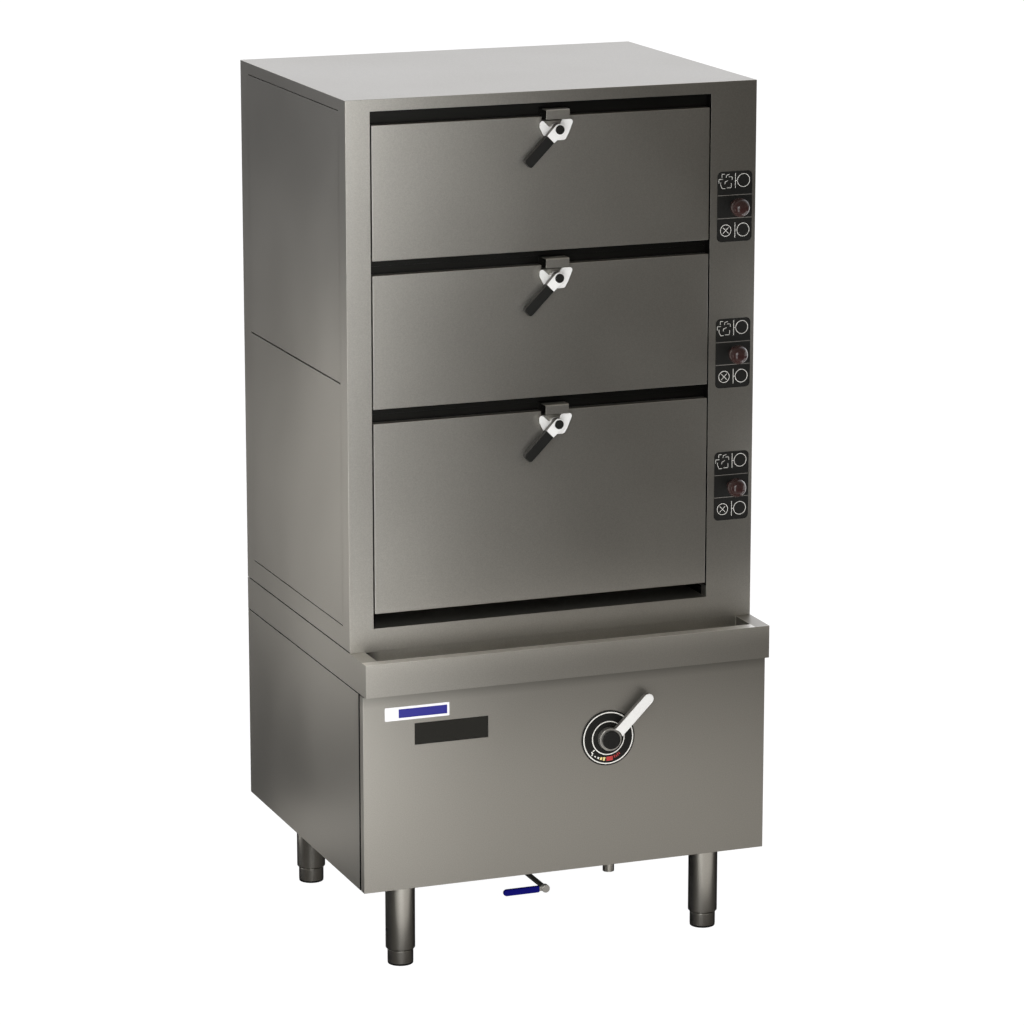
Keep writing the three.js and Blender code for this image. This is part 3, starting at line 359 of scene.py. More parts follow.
# %% [markdown]
# Finished parts are welded together or copied to their other places. Then a piece is dressed: it
# gets its material and smooth shading, its body and the nodes that it stands for.

# %% Helpers that finish a piece
def weld_together(pieces, name):
    clear_selection()
    for piece in pieces:
        piece.select_set(True)
    bpy.context.view_layer.objects.active = pieces[0]
    bpy.ops.object.join()
    pieces[0].name = pieces[0].data.name = name
    return pieces[0]


def copy_moved(piece, name, move):
    """A copy with its own mesh, moved by shifting the mesh itself."""
    copy = piece.copy()
    copy.data = piece.data.copy()
    copy.name = copy.data.name = name
    bpy.context.scene.collection.objects.link(copy)
    with editing(copy):
        bpy.ops.mesh.select_all(action="SELECT")
        bpy.ops.transform.translate(value=move)
    return copy


def dress(piece, finish, body, stands_for=(), angle=32):
    """Gives a finished piece its material, its body and the nodes that it stands for."""
    piece.data.materials.clear()
    piece.data.materials.append(finish)
    clear_selection()
    piece.select_set(True)
    bpy.context.view_layer.objects.active = piece
    bpy.ops.object.shade_smooth_by_angle(angle=math.radians(angle))
    apply_modifier(piece, "WEIGHTED_NORMAL", mode="FACE_AREA", weight=50, keep_sharp=True)
    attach(piece, body)
    if stands_for:
        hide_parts(*stands_for)
    return piece


# %% [markdown]
# ## Finishes
# The cabinet's sheet is satin stainless steel: a fine even grain, a little warmer than neutral
# grey, with slow clouds of roughness from wiping. One node group makes the grain for every metal,
# and each material sets its own scale and strength.

# %% The grain that all the metals share
def make_grain_group():
    group = bpy.data.node_groups.new("metal_grain", "ShaderNodeTree")
    add = group.interface.new_socket
    for name, kind, start in (
        ("Tint", "NodeSocketColor", (0.5, 0.5, 0.5, 1)),
        ("Tint Change", "NodeSocketFloat", 0.05),
        ("Grain Scale", "NodeSocketFloat", 400.0),
        ("Cloud Scale", "NodeSocketFloat", 3.0),
        ("Smoothest", "NodeSocketFloat", 0.35),
        ("Roughest", "NodeSocketFloat", 0.5),
    ):
        add(name=name, in_out="INPUT", socket_type=kind).default_value = start
    add(name="Color", in_out="OUTPUT", socket_type="NodeSocketColor")
    add(name="Roughness", in_out="OUTPUT", socket_type="NodeSocketFloat")
    add(name="Height", in_out="OUTPUT", socket_type="NodeSocketFloat")

    nodes, links = group.nodes, group.links
    given, result = nodes.new("NodeGroupInput"), nodes.new("NodeGroupOutput")
    where = nodes.new("ShaderNodeTexCoord")
    grain, cloud = nodes.new("ShaderNodeTexNoise"), nodes.new("ShaderNodeTexNoise")
    grain.inputs["Detail"].default_value = 3
    grain.inputs["Roughness"].default_value = 0.65
    cloud.inputs["Detail"].default_value = 4
    for noise, scale in ((grain, "Grain Scale"), (cloud, "Cloud Scale")):
        links.new(where.outputs["Object"], noise.inputs["Vector"])
        links.new(given.outputs[scale], noise.inputs["Scale"])

    # The tint's brightness follows the fine grain, by the change either way from one.
    brighter, darker = nodes.new("ShaderNodeMath"), nodes.new("ShaderNodeMath")
    brighter.operation, darker.operation = "ADD", "SUBTRACT"
    for node in (brighter, darker):
        node.inputs[0].default_value = 1
        links.new(given.outputs["Tint Change"], node.inputs[1])
    shade = nodes.new("ShaderNodeMapRange")
    shade.inputs["From Min"].default_value = 0.3
    shade.inputs["From Max"].default_value = 0.7
    links.new(grain.outputs["Fac"], shade.inputs["Value"])
    links.new(darker.outputs[0], shade.inputs["To Min"])
    links.new(brighter.outputs[0], shade.inputs["To Max"])
    colour = nodes.new("ShaderNodeHueSaturation")
    links.new(given.outputs["Tint"], colour.inputs["Color"])
    links.new(shade.outputs["Result"], colour.inputs["Value"])
    links.new(colour.outputs["Color"], result.inputs["Color"])

    polish = nodes.new("ShaderNodeMapRange")
    polish.inputs["From Min"].default_value = 0.3
    polish.inputs["From Max"].default_value = 0.7
    links.new(cloud.outputs["Fac"], polish.inputs["Value"])
    links.new(given.outputs["Smoothest"], polish.inputs["To Min"])
    links.new(given.outputs["Roughest"], polish.inputs["To Max"])
    links.new(polish.outputs["Result"], result.inputs["Roughness"])
    links.new(grain.outputs["Fac"], result.inputs["Height"])
    return group


metal_grain = make_grain_group()
print("grain group made")

# %% [markdown]
# The same recipe then gives every metal, plastic and rubber of the cabinet. Constant values sit on
# the shader itself, and only the colour, the roughness and the height come from the group.

# %% Finish recipe
def make_finish(
    name, tint, metal, smoothest, roughest, change, grain, cloud, bump, depth=0.1 * mm, specular=0.5
):
    finish = bpy.data.materials.new(name)
    finish.use_nodes = True
    nodes, links = finish.node_tree.nodes, finish.node_tree.links
    shader = nodes["Principled BSDF"]
    texture = nodes.new("ShaderNodeGroup")
    texture.node_tree = metal_grain
    for socket, value in (
        ("Tint", (*tint, 1)), ("Tint Change", change), ("Grain Scale", grain),
        ("Cloud Scale", cloud), ("Smoothest", smoothest), ("Roughest", roughest),
    ):
        texture.inputs[socket].default_value = value
    relief = nodes.new("ShaderNodeBump")
    relief.inputs["Strength"].default_value = bump
    relief.inputs["Distance"].default_value = depth
    links.new(texture.outputs["Color"], shader.inputs["Base Color"])
    links.new(texture.outputs["Roughness"], shader.inputs["Roughness"])
    links.new(texture.outputs["Height"], relief.inputs["Height"])
    links.new(relief.outputs["Normal"], shader.inputs["Normal"])
    shader.inputs["Metallic"].default_value = metal
    shader.inputs["Specular IOR Level"].default_value = specular
    finish.diffuse_color = (*tint, 1)
    return finish


print("finish recipe ready")

# %% [markdown]
# In a fold, a seam or behind an edge the real sheet looks darker, or lighter where it mirrors
# something bright. That is painted here: a second group gives a soft mask that is one inside a box,
# and with it a finish gets painted shade and painted reflections inside a box of the piece's measures.

# %% Shade inside a box
def make_box_shade_group():
    """A soft mask that is one inside a box of the object's own space and none outside it."""
    group = bpy.data.node_groups.new("box_shade", "ShaderNodeTree")
    for name, kind in (
        ("Low", "NodeSocketVector"), ("High", "NodeSocketVector"), ("Softness", "NodeSocketVector"),
    ):
        group.interface.new_socket(name=name, in_out="INPUT", socket_type=kind)
    group.interface.new_socket(name="Mask", in_out="OUTPUT", socket_type="NodeSocketFloat")
    nodes, links = group.nodes, group.links
    given, result = nodes.new("NodeGroupInput"), nodes.new("NodeGroupOutput")
    where = nodes.new("ShaderNodeTexCoord")

    def vector_step(operation, first, second):
        node = nodes.new("ShaderNodeVectorMath")
        node.operation = operation
        links.new(first, node.inputs[0])
        links.new(second, node.inputs[1])
        return node.outputs["Vector"]

    soft = given.outputs["Softness"]
    above = vector_step("SUBTRACT", where.outputs["Object"], given.outputs["Low"])
    under = vector_step("SUBTRACT", given.outputs["High"], where.outputs["Object"])
    least = vector_step(
        "MINIMUM", vector_step("DIVIDE", above, soft), vector_step("DIVIDE", under, soft)
    )
    split = nodes.new("ShaderNodeSeparateXYZ")
    links.new(least, split.inputs[0])
    first, second = nodes.new("ShaderNodeMath"), nodes.new("ShaderNodeMath")
    first.operation = second.operation = "MINIMUM"
    second.use_clamp = True
    links.new(split.outputs["X"], first.inputs[0])
    links.new(split.outputs["Y"], first.inputs[1])
    links.new(first.outputs[0], second.inputs[0])
    links.new(split.outputs["Z"], second.inputs[1])
    links.new(second.outputs[0], result.inputs["Mask"])
    return group


box_shade = make_box_shade_group()


def shade_box(finish, low, high, tint, softness=0.3 * mm):
    """Paints a tint inside a box with a soft limit: shade where darker, a reflection where lighter."""
    nodes, links = finish.node_tree.nodes, finish.node_tree.links
    shader = nodes["Principled BSDF"]
    source = shader.inputs["Base Color"].links[0].from_socket
    mask, mix = nodes.new("ShaderNodeGroup"), nodes.new("ShaderNodeMix")
    mask.node_tree = box_shade
    mask.inputs["Low"].default_value = low
    mask.inputs["High"].default_value = high
    even = isinstance(softness, float)
    mask.inputs["Softness"].default_value = (softness, softness, softness) if even else softness
    mix.data_type = "RGBA"
    links.new(mask.outputs["Mask"], mix.inputs["Factor"])
    links.new(source, mix.inputs["A"])
    mix.inputs["B"].default_value = (*tint, 1)
    links.new(mix.outputs["Result"], shader.inputs["Base Color"])


# A near black for painted shade inside seams and gaps.
painted_seam_shade = (0.012, 0.012, 0.011)
beyond = 3
print("box shade ready")

# %% [markdown]
# Now the metals. The satin sheet is made as a function, because several pieces need one of their
# own, to get their own painted shade and reflections. A box that reaches beyond the cabinet is open on
# that side. The chambers get painted shade on their front flanges, and the castings get painted
# shade at their back, near the doors.

# %% Metals
def satin(name):
    return make_finish(
        name, (0.56, 0.545, 0.505), 1.0, 0.40, 0.47, change=0.09, grain=480, cloud=2.2, bump=0.35
    )


satin_steel = satin("satin_steel")
chamber_steel = make_finish(
    "chamber_steel", (0.40, 0.395, 0.37), 1.0, 0.42, 0.58, change=0.08, grain=160, cloud=9, bump=0.2
)
chamber_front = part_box("steam_chamber_top")[0][Y]
# Painted shade: the front flanges are nearly black, as they show only in the dark gaps round the doors.
shade_box(
    chamber_steel, (-beyond, -beyond, 0), (beyond, chamber_front + 5 * mm, beyond),
    (0.03, 0.03, 0.028), 2 * mm,
)
tube_steel = make_finish(
    "tube_steel", (0.88, 0.86, 0.80), 1.0, 0.27, 0.31, change=0.05, grain=500, cloud=7, bump=0.04
)
galvanised_sheet = make_finish(
    "galvanised_sheet", (0.42, 0.43, 0.44), 0.9, 0.42, 0.62, change=0.2, grain=55, cloud=20, bump=0.1
)
cast_lever = make_finish(
    "cast_lever", (0.86, 0.86, 0.845), 0.12, 0.38, 0.5, change=0.03, grain=700, cloud=30, bump=0.15
)
latch_front, gas_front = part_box("door_top")[0][Y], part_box("gas_lever")[0][Y]
# Painted shade: the sides of the latch and gas lever castings, behind their front faces, are dark.
for start, end in (
    (latch_front + 4.4 * mm, latch_front + 19.0 * mm), (gas_front + 1.2 * mm, gas_front + 16 * mm),
):
    shade_box(
        cast_lever, (-beyond, start, 0), (beyond, end, beyond), (0.13, 0.125, 0.115), 0.5 * mm
    )
hub_metal = make_finish(
    "hub_metal", (0.52, 0.51, 0.48), 0.85, 0.3, 0.42, change=0.05, grain=600, cloud=25, bump=0.12
)
dark_steel = make_finish(
    "dark_steel", (0.10, 0.095, 0.085), 0.9, 0.38, 0.55, change=0.1, grain=500, cloud=30, bump=0.2
)
valve_brass = make_finish(
    "valve_brass", (0.56, 0.42, 0.19), 1.0, 0.35, 0.55, change=0.1, grain=300, cloud=25, bump=0.3
)
burner_iron = make_finish(
    "burner_iron", (0.035, 0.034, 0.034), 0.5, 0.65, 0.85, change=0.3, grain=220, cloud=18, bump=0.8,
    depth=0.4 * mm,
)
print("metals ready")

# %% [markdown]
# Plastics, rubber and print use the recipe too, with a finer grain and no metal. The black parts
# are never quite black, and each has its own gloss: the grips are matt, the valve balls are
# polished phenolic resin, and the sleeve of the drain lever is dipped vinyl.

# %% Plastics, rubber, glass and print
black_plastic = make_finish(
    "black_plastic", (0.011, 0.011, 0.010), 0.0, 0.42, 0.52, change=0.2, grain=900, cloud=40, bump=0.25,
    specular=0.25,
)
label_film = make_finish(
    "label_film", (0.013, 0.013, 0.012), 0.0, 0.38, 0.5, change=0.15, grain=1200, cloud=15, bump=0.1,
    specular=0.3,
)
seal_rubber = make_finish(
    "seal_rubber", (0.006, 0.006, 0.006), 0.0, 0.7, 0.88, change=0.25, grain=500, cloud=30, bump=0.4,
    specular=0.08,
)
resin_ball = make_finish(
    "resin_ball", (0.034, 0.015, 0.014), 0.0, 0.07, 0.11, change=0.12, grain=150, cloud=30, bump=0.02,
)
dipped_vinyl = make_finish(
    "dipped_vinyl", (0.0015, 0.0015, 0.125), 0.0, 0.5, 0.6, change=0.08, grain=350, cloud=40, bump=0.2,
    specular=0.06,
)
smoked_glass = make_finish(
    "smoked_glass", (0.018, 0.0175, 0.015), 0.0, 0.3, 0.36, change=0.05, grain=30, cloud=12, bump=0.0,
    specular=0.12,
)
plate_enamel = make_finish(
    "plate_enamel", (0.82, 0.82, 0.84), 0.0, 0.28, 0.38, change=0.02, grain=600, cloud=20, bump=0.04
)
white_print = make_finish(
    "white_print", (0.82, 0.81, 0.77), 0.0, 0.5, 0.6, change=0.05, grain=900, cloud=60, bump=0.1
)
grey_print = make_finish(
    "grey_print", (0.17, 0.16, 0.145), 0.0, 0.5, 0.6, change=0.05, grain=900, cloud=60, bump=0.1
)
blue_print = make_finish(
    "blue_print", (0.012, 0.012, 0.23), 0.0, 0.4, 0.5, change=0.06, grain=900, cloud=60, bump=0.05
)
yellow_print = make_finish(
    "yellow_print", (0.85, 0.68, 0.28), 0.0, 0.5, 0.6, change=0.05, grain=900, cloud=60, bump=0.1
)
red_print = make_finish(
    "red_print", (0.50, 0.035, 0.03), 0.0, 0.5, 0.6, change=0.05, grain=900, cloud=60, bump=0.1
)
print("materials:", len(bpy.data.materials))

# %% [markdown]
# ## The case
# On the real cabinet the front frame, the top, the band under the doors and the rear corners are
# welded and ground flush, so no joint shows between them. The whole skin is therefore folded from
# one block: its outer edges are bent, the door opening and the side openings are taken out, and
# the opening's edge is turned inwards. Then the skin is parted along the real pieces' limits.

# %% Case skin: block, bends and openings
cover_low, cover_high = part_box("top_cover")
band_low, band_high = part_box("bottom_band")
left_high, right_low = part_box("left_stile")[1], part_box("right_stile")[0]
back_low, back_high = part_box("back_panel")
sheet = 1.5 * mm
bend_radius = 0.9 * mm
case_front = cover_low[Y]
opening = {"left": left_high[X], "right": right_low[X], "bottom": band_high[Z], "top": cover_low[Z]}
return_depth = 25.5 * mm
reveal = 2.6 * mm

skin = block("case_skin", (cover_low[X], case_front, band_low[Z]), cover_high)
round_edges(
    skin, bend_radius, 4,
    lambda edge: lies_at(edge, Z, cover_high[Z]) or runs_along(edge, Z, 500 * mm),
)
for axis, level in (
    (Z, opening["bottom"]), (Z, opening["top"]), (X, opening["left"]), (X, opening["right"]),
    (Y, left_high[Y]), (Y, back_low[Y]), (Z, band_low[Z] + reveal),
):
    slice_at(skin, axis, level)


def inside_opening(face):
    point = middle(face)
    return (
        face.normal.y < -facing
        and opening["left"] < point.x < opening["right"]
        and opening["bottom"] < point.z < opening["top"]
    )


def inside_side_opening(face):
    point = middle(face)
    return (
        abs(face.normal.x) > facing
        and left_high[Y] < point.y < back_low[Y]
        and opening["bottom"] < point.z < opening["top"]
    )


def in_open_seam(face):
    """The open seam between the case and the hob band, at both sides and behind."""
    outward = abs(face.normal.x) > facing or face.normal.y > facing
    return outward and middle(face).z < band_low[Z] + reveal


removed = delete_faces(
    skin,
    lambda f: f.normal.z < -facing or inside_opening(f) or inside_side_opening(f) or in_open_seam(f),
)
print("faces taken out of the skin:", removed)

# %% [markdown]
# The door opening's edge is drawn straight back as a return, and the fold between front and return
# is rounded. That fold makes the thin bright line round the doors.

# %% Case skin: the return round the doors
def on_opening(edge):
    if not lies_at(edge, Y, case_front):
        return False
    point = middle(edge)
    across = opening["left"] - mm < point.x < opening["right"] + mm
    upward = opening["bottom"] - mm < point.z < opening["top"] + mm
    side = lies_at(edge, X, opening["left"]) or lies_at(edge, X, opening["right"])
    level = lies_at(edge, Z, opening["bottom"]) or lies_at(edge, Z, opening["top"])
    return (side and upward) or (level and across)


with editing(skin):
    count = pick(skin, "EDGE", lambda edge: edge.is_boundary and on_opening(edge))
    bpy.ops.mesh.extrude_edges_move(TRANSFORM_OT_translate={"value": (0, return_depth, 0)})
print("edges turned inwards:", count)
round_edges(skin, 0.5 * mm, 2, lambda edge: on_opening(edge) and not edge.is_boundary)

# %% [markdown]
# Now the skin is parted into the top cover, the band under the doors, the back and the two posts,
# and each of them is given the thickness of the sheet.

# %% Case skin: the parting
def part_off(piece, name, test):
    """Parts some faces off as a piece of their own."""
    with editing(piece):
        pick(piece, "FACE", test)
        bpy.ops.mesh.separate(type="SELECTED")
    part = next(o for o in bpy.context.selected_objects if o is not piece)
    part.name = part.data.name = name
    return part


case_cover = part_off(skin, "case_cover", lambda f: middle(f).z > opening["top"] - touching)
case_band = part_off(skin, "case_band", lambda f: middle(f).z < opening["bottom"] + touching)
case_back = part_off(skin, "case_back", lambda f: middle(f).y > back_low[Y] - touching)
case_left = part_off(skin, "case_left_post", lambda f: middle(f).x < 0)
case_right = skin
case_right.name = case_right.data.name = "case_right_post"
for part in (case_cover, case_band, case_back, case_left, case_right):
    thicken(part, sheet)
print("case skin parted")

# %% [markdown]
# The band under the doors carries a deck, which is the floor of the gap below the lowest door. Its
# lower edge stands open over the hob band at the sides and behind. A fold inside the wall closes
# that seam, so that no light shows through the cabinet there: a hanging strip with a ledge on top.

# %% Case band: deck and inner fold
band_deck = block(
    "band_deck",
    (opening["left"], case_front + return_depth, opening["bottom"] - sheet),
    (opening["right"], back_high[Y] - 5 * mm, opening["bottom"]),
)
fold_in, fold_front, fold_back = 4 * mm, case_front + 3 * mm, back_high[Y]
fold_top = band_low[Z] + 9 * mm
strip_and_ledge = ((fold_in, band_low[Z]), (sheet, fold_top - sheet))
folds = []
for outer, inward in ((cover_low[X], 1), (cover_high[X], -1)):
    for start, bottom in strip_and_ledge:
        near, far = outer + inward * start, outer + inward * (fold_in + sheet)
        folds.append(block(
            "seam_fold", (min(near, far), fold_front, bottom),
            (max(near, far), fold_back - fold_in, fold_top),
        ))
for start, bottom in strip_and_ledge:
    folds.append(block(
        "seam_fold", (cover_low[X] + fold_in, fold_back - fold_in - sheet, bottom),
        (cover_high[X] - fold_in, fold_back - start, fold_top),
    ))
case_band = weld_together([case_band, band_deck, *folds], "case_band")
print("folds behind the open seam:", len(folds))

# %% [markdown]
# The frame's steel gets painted shade inside the edge of the door opening, and the band's own steel
# gets painted shade in the open seam. The front of the band gets a painted reflection: it is lighter,
# since it mirrors the bright hob band.

# %% Case finishes
frame_steel = satin("frame_steel")
# Painted shade inside the return round the door opening.
shade_box(
    frame_steel,
    (opening["left"] - mm, case_front + 0.4 * mm, opening["bottom"] + 24 * mm),
    (opening["right"] + mm, case_front + 40 * mm, opening["top"] + mm),
    (0.035, 0.034, 0.032),
)
band_steel = satin("band_steel")
# Painted reflection: the front of the band is lighter.
shade_box(
    band_steel, (-beyond, -beyond, band_low[Z]), (beyond, case_front + 0.4 * mm, beyond),
    (0.93, 0.91, 0.85), 20 * mm,
)
# Painted shade, nearly black, in the open seam under the band.
shade_box(
    band_steel, (cover_low[X] + 2 * mm, case_front + 2 * mm, 0),
    (cover_high[X] - 2 * mm, fold_back - 2 * mm, band_low[Z] + reveal + 2 * mm), painted_seam_shade,
)
for part, finish, node in (
    (case_cover, frame_steel, "top_cover"), (case_band, band_steel, "bottom_band"),
    (case_back, frame_steel, "back_panel"), (case_left, frame_steel, "left_stile"),
    (case_right, frame_steel, "right_stile"),
):
    dress(part, finish, "cabinet", [node])
    print(part.name, "faces:", len(part.data.polygons))

# %% [markdown]
# ## Lift-off side panels
# Two panels close each side. They are shallow trays that hook into the frame. Each one is a little
# wider than in the construction, which leaves only a hairline at its upright edges, and a little
# lower, which leaves an open seam above and below. A tray is a block with its inner face taken off,
# its skin given the thickness of the sheet and its edges softly broken.

# %% Tray helper and the four side panels
def folded_tray(name, low, high, open_axis, open_level, radius=0.3 * mm):
    tray = block(name, low, high)
    delete_faces(tray, lambda face: lies_at(face, open_axis, open_level))
    thicken(tray, sheet)
    break_edges(tray, radius)
    return tray


widened, level_seam = 2.2 * mm, 1.3 * mm
for side in ("left", "right"):
    for level in ("lower", "upper"):
        node = f"{side}_{level}_panel"
        low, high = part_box(node)
        inner = high[X] if side == "left" else low[X]
        low = (low[X], low[Y] - widened, low[Z] + level_seam)
        high = (high[X], high[Y] + widened, high[Z] - level_seam)
        panel = folded_tray(f"side_{node}", low, high, X, inner)
        dress(panel, satin_steel, "cabinet", [node])
print("side panels made")

# %% [markdown]
# ## The hob band
# The case stands on a deep folded band. In front of the case its top dips into an open drip
# gutter. The gutter's mouth is cut by slicing the top at its four limits, and its walls are the
# mouth's edges drawn down and closed with a floor. Below, the band stays open behind its front
# fold, and only the gutter's inner corners are rounded before the sheet gets its thickness.

# %% Hob band with its drip gutter
hob_low, hob_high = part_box("hob_top")
base_panel_low, base_panel_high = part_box("base_front_panel")
gutter = {
    "left": hob_low[X] + 33 * mm, "right": hob_high[X] - 33 * mm,
    "front": hob_low[Y] + 25 * mm, "back": case_front - 0.3 * mm,
}
gutter_depth = 36 * mm
slack = 0.1 * mm

hob = block("hob_band", hob_low, hob_high)
for axis, level in (
    (X, gutter["left"]), (X, gutter["right"]), (Y, gutter["front"]), (Y, gutter["back"]),
    (Y, base_panel_high[Y]),
):
    slice_at(hob, axis, level)


def in_gutter(item):
    point = middle(item)
    return (
        gutter["left"] - slack < point.x < gutter["right"] + slack
        and gutter["front"] - slack < point.y < gutter["back"] + slack
    )


delete_faces(
    hob,
    lambda face: (lies_at(face, Z, hob_high[Z]) and in_gutter(face))
    or (face.normal.z < -facing and middle(face).y > base_panel_high[Y]),
)
with editing(hob):
    pick(hob, "EDGE", lambda e: e.is_boundary and lies_at(e, Z, hob_high[Z]) and in_gutter(e))
    bpy.ops.mesh.extrude_edges_move(TRANSFORM_OT_translate={"value": (0, 0, -gutter_depth)})
    bpy.ops.mesh.edge_face_add()
round_edges(
    hob, 1.6 * mm, 3,
    lambda e: in_gutter(e) and not e.is_boundary
    and middle(e).z < hob_high[Z] - 2 * mm and middle(e).z > hob_low[Z] + 20 * mm,
)
thicken(hob, sheet)
break_edges(hob, 0.5 * mm, 2, 50)
print("hob band faces:", len(hob.data.polygons))

# %% [markdown]
# What the band mirrors and where it is shaded is painted by place. The strip before the gutter gets
# a painted bright reflection. Both ends of the gutter get painted shade, the left one with a long fade,
# and so does the band's right end. Under the case the band gets painted shade, nearly black, as it
# shows only in the open seam.

# %% Hob band: its finish
hob_steel = satin("hob_steel")
# Painted reflection: the strip before the gutter is lighter.
shade_box(
    hob_steel, (-beyond, -beyond, hob_high[Z] - 0.6 * mm), (gutter["right"], gutter["front"], beyond),
    (0.97, 0.95, 0.90),
)
hob_inside = hob_high[Z] - 0.8 * mm
# Painted shade in the gutter's left end, with a long fade.
shade_box(
    hob_steel, (gutter["left"] - 30 * mm, gutter["front"] - 2 * mm, 0),
    (gutter["left"] + 32 * mm, gutter["back"] + 2 * mm, hob_inside), (0.05, 0.05, 0.046),
    (30 * mm, 0.3 * mm, 0.3 * mm),
)
# Painted shade on the gutter's right end wall.
shade_box(
    hob_steel, (gutter["right"] - 0.5 * mm, gutter["front"] - 2 * mm, 0),
    (gutter["right"] + 20 * mm, gutter["back"] + 2 * mm, hob_inside), (0.20, 0.195, 0.18),
)
# Painted shade on the band's top to the right of the gutter.
shade_box(
    hob_steel, (gutter["right"] + 0.5 * mm, hob_low[Y] + 2 * mm, hob_inside), (beyond, 0, beyond),
    (0.40, 0.385, 0.35), (3 * mm, 3 * mm, 0.3 * mm),
)
# Painted shade, nearly black, on the band's top under the case.
shade_box(
    hob_steel, (hob_low[X] + 0.6 * mm, case_front + mm, hob_high[Z] - 0.5 * mm),
    (hob_high[X] - 0.6 * mm, hob_high[Y] - 0.6 * mm, beyond), painted_seam_shade,
)
dress(hob, hob_steel, "cabinet", ["hob_top"])
print("hob band dressed")

# %% [markdown]
# ## The base
# The base is a box of flat panels. The front panel wraps round both corners and meets the side
# panels in a seam. Its window and the bore for the gas spindle are cut with Booleans, by cutters
# that reach well past the sheet. Near its top the panel gets painted shade under the hob band.

# %% Base front panel
window_low, window_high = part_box("sight_window")
dial_low, dial_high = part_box("dial_plate")
dial_centre = (dial_low + dial_high) / 2
window_lip, window_edge = 8 * mm, 6.3 * mm
spindle_bore = 17 * mm
past = 5 * mm
# Level and fade of the painted shade under the hob band.
painted_shade_from, painted_shade_fade = 0.582, 27 * mm

base_top = base_panel_high[Z] - reveal
base_front = folded_tray(
    "base_front_skin", base_panel_low, (base_panel_high[X], base_panel_high[Y], base_top),
    Y, base_panel_high[Y], 0.6 * mm,
)
cut_away(
    base_front,
    block(
        "window_cutter",
        (window_low[X] + window_lip, base_panel_low[Y] - past, window_low[Z] + window_edge),
        (window_high[X] - window_lip, base_panel_low[Y] + past, window_high[Z] - window_edge),
    ),
    drum(
        "spindle_cutter", spindle_bore, Y, base_panel_low[Y] - past, base_panel_low[Y] + past,
        dial_centre,
    ),
)
front_steel = satin("front_steel")
# Painted shade: the front panel darkens towards its top, under the hob band.
shade_box(
    front_steel, (-beyond, -beyond, painted_shade_from), (beyond, beyond, beyond), (0.37, 0.36, 0.333),
    painted_shade_fade,
)
dress(base_front, front_steel, "cabinet", ["base_front_panel"])
print("base front made, top at", round(base_top, 4))

# %% [markdown]
# The two side panels are trays too. They stop below the hob band, and a strip inside each of them
# reaches up behind that open seam. Their steel gets painted shade, nearly black, in it and along the
# front corner.

# %% Base side and back panels
corner_seam, strip_below, strip_above = 4 * mm, 8 * mm, 4 * mm
side_steel = satin("side_steel")
# Painted shade, nearly black, on what shows in the open seam above the side panels.
shade_box(
    side_steel, (base_panel_low[X] + 0.6 * mm, -beyond, base_top - 0.4 * mm),
    (base_panel_high[X] - 0.6 * mm, beyond, beyond), painted_seam_shade,
)
# Painted shade, nearly black, in a strip along the front corner seam.
shade_box(
    side_steel, (-beyond, -beyond, 0), (beyond, base_panel_high[Y] + 9 * mm, beyond),
    (0.02, 0.02, 0.019),
)
for side in ("left", "right"):
    node = f"base_{side}_side"
    low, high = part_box(node)
    inner = high[X] if side == "left" else low[X]
    low, high = (low[X], low[Y] + corner_seam, low[Z]), (high[X], high[Y], base_top)
    side_skin = folded_tray(f"{node}_skin", low, high, X, inner)
    fold_end = inner + (sheet if side == "left" else -sheet)
    strip = block(
        "seam_strip", (min(inner, fold_end), low[Y], base_top - strip_below),
        (max(inner, fold_end), high[Y], base_panel_high[Z] + strip_above),
    )
    side_skin = weld_together([side_skin, strip], f"{node}_skin")
    dress(side_skin, side_steel, "cabinet", [node])

low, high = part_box("base_back")
back_skin = block("base_back_skin", low, high)
break_edges(back_skin, 0.5 * mm)
dress(back_skin, satin_steel, "cabinet", ["base_back"])
print("base panels made")

# %% [markdown]
# The sight window is a strip of smoked glass in the panel's window, and the plate above it is
# enamelled metal. The plate is left without words. A plain blue band keeps its colour.

# %% Window and bare plate
play, glass_setback = 0.3 * mm, 0.2 * mm
glass = block(
    "window_glass",
    (
        window_low[X] + window_lip + play, base_panel_low[Y] + glass_setback,
        window_low[Z] + window_edge + play,
    ),
    (window_high[X] - window_lip - play, window_high[Y], window_high[Z] - window_edge - play),
)
break_edges(glass, 0.4 * mm)
dress(glass, smoked_glass, "cabinet", ["sight_window"])

badge_low, badge_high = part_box("badge_plate")
badge = block("bare_plate", badge_low, badge_high)
round_edges(badge, 1.5 * mm, 4, lambda e: runs_along(e, Y, 0.5 * mm))
break_edges(badge, 0.2 * mm, 2, 50)
dress(badge, plate_enamel, "cabinet", ["badge_plate"])

band_margin = 5 * mm
band = block(
    "plate_band",
    (badge_low[X] + 30 * mm, badge_low[Y] - 0.15 * mm, badge_low[Z] + band_margin),
    (badge_high[X] - band_margin, badge_low[Y] + 0.3 * mm, badge_high[Z] - band_margin),
)
break_edges(band, 0.05 * mm, 1)
dress(band, blue_print, "cabinet")
print("window and plate made")

# %% [markdown]
# ## The doors
# Each door is a flat folded slab. Its inner face carries a pressed pan that stands in the chamber's
# mouth. The back face is sliced at the pan's four limits, and its middle is drawn out and drawn in
# a little. A small notch in the top edge leaves room for the keep, and two slots in the bottom edge
# let water out. Two short pins in the lower corners are the hinge.

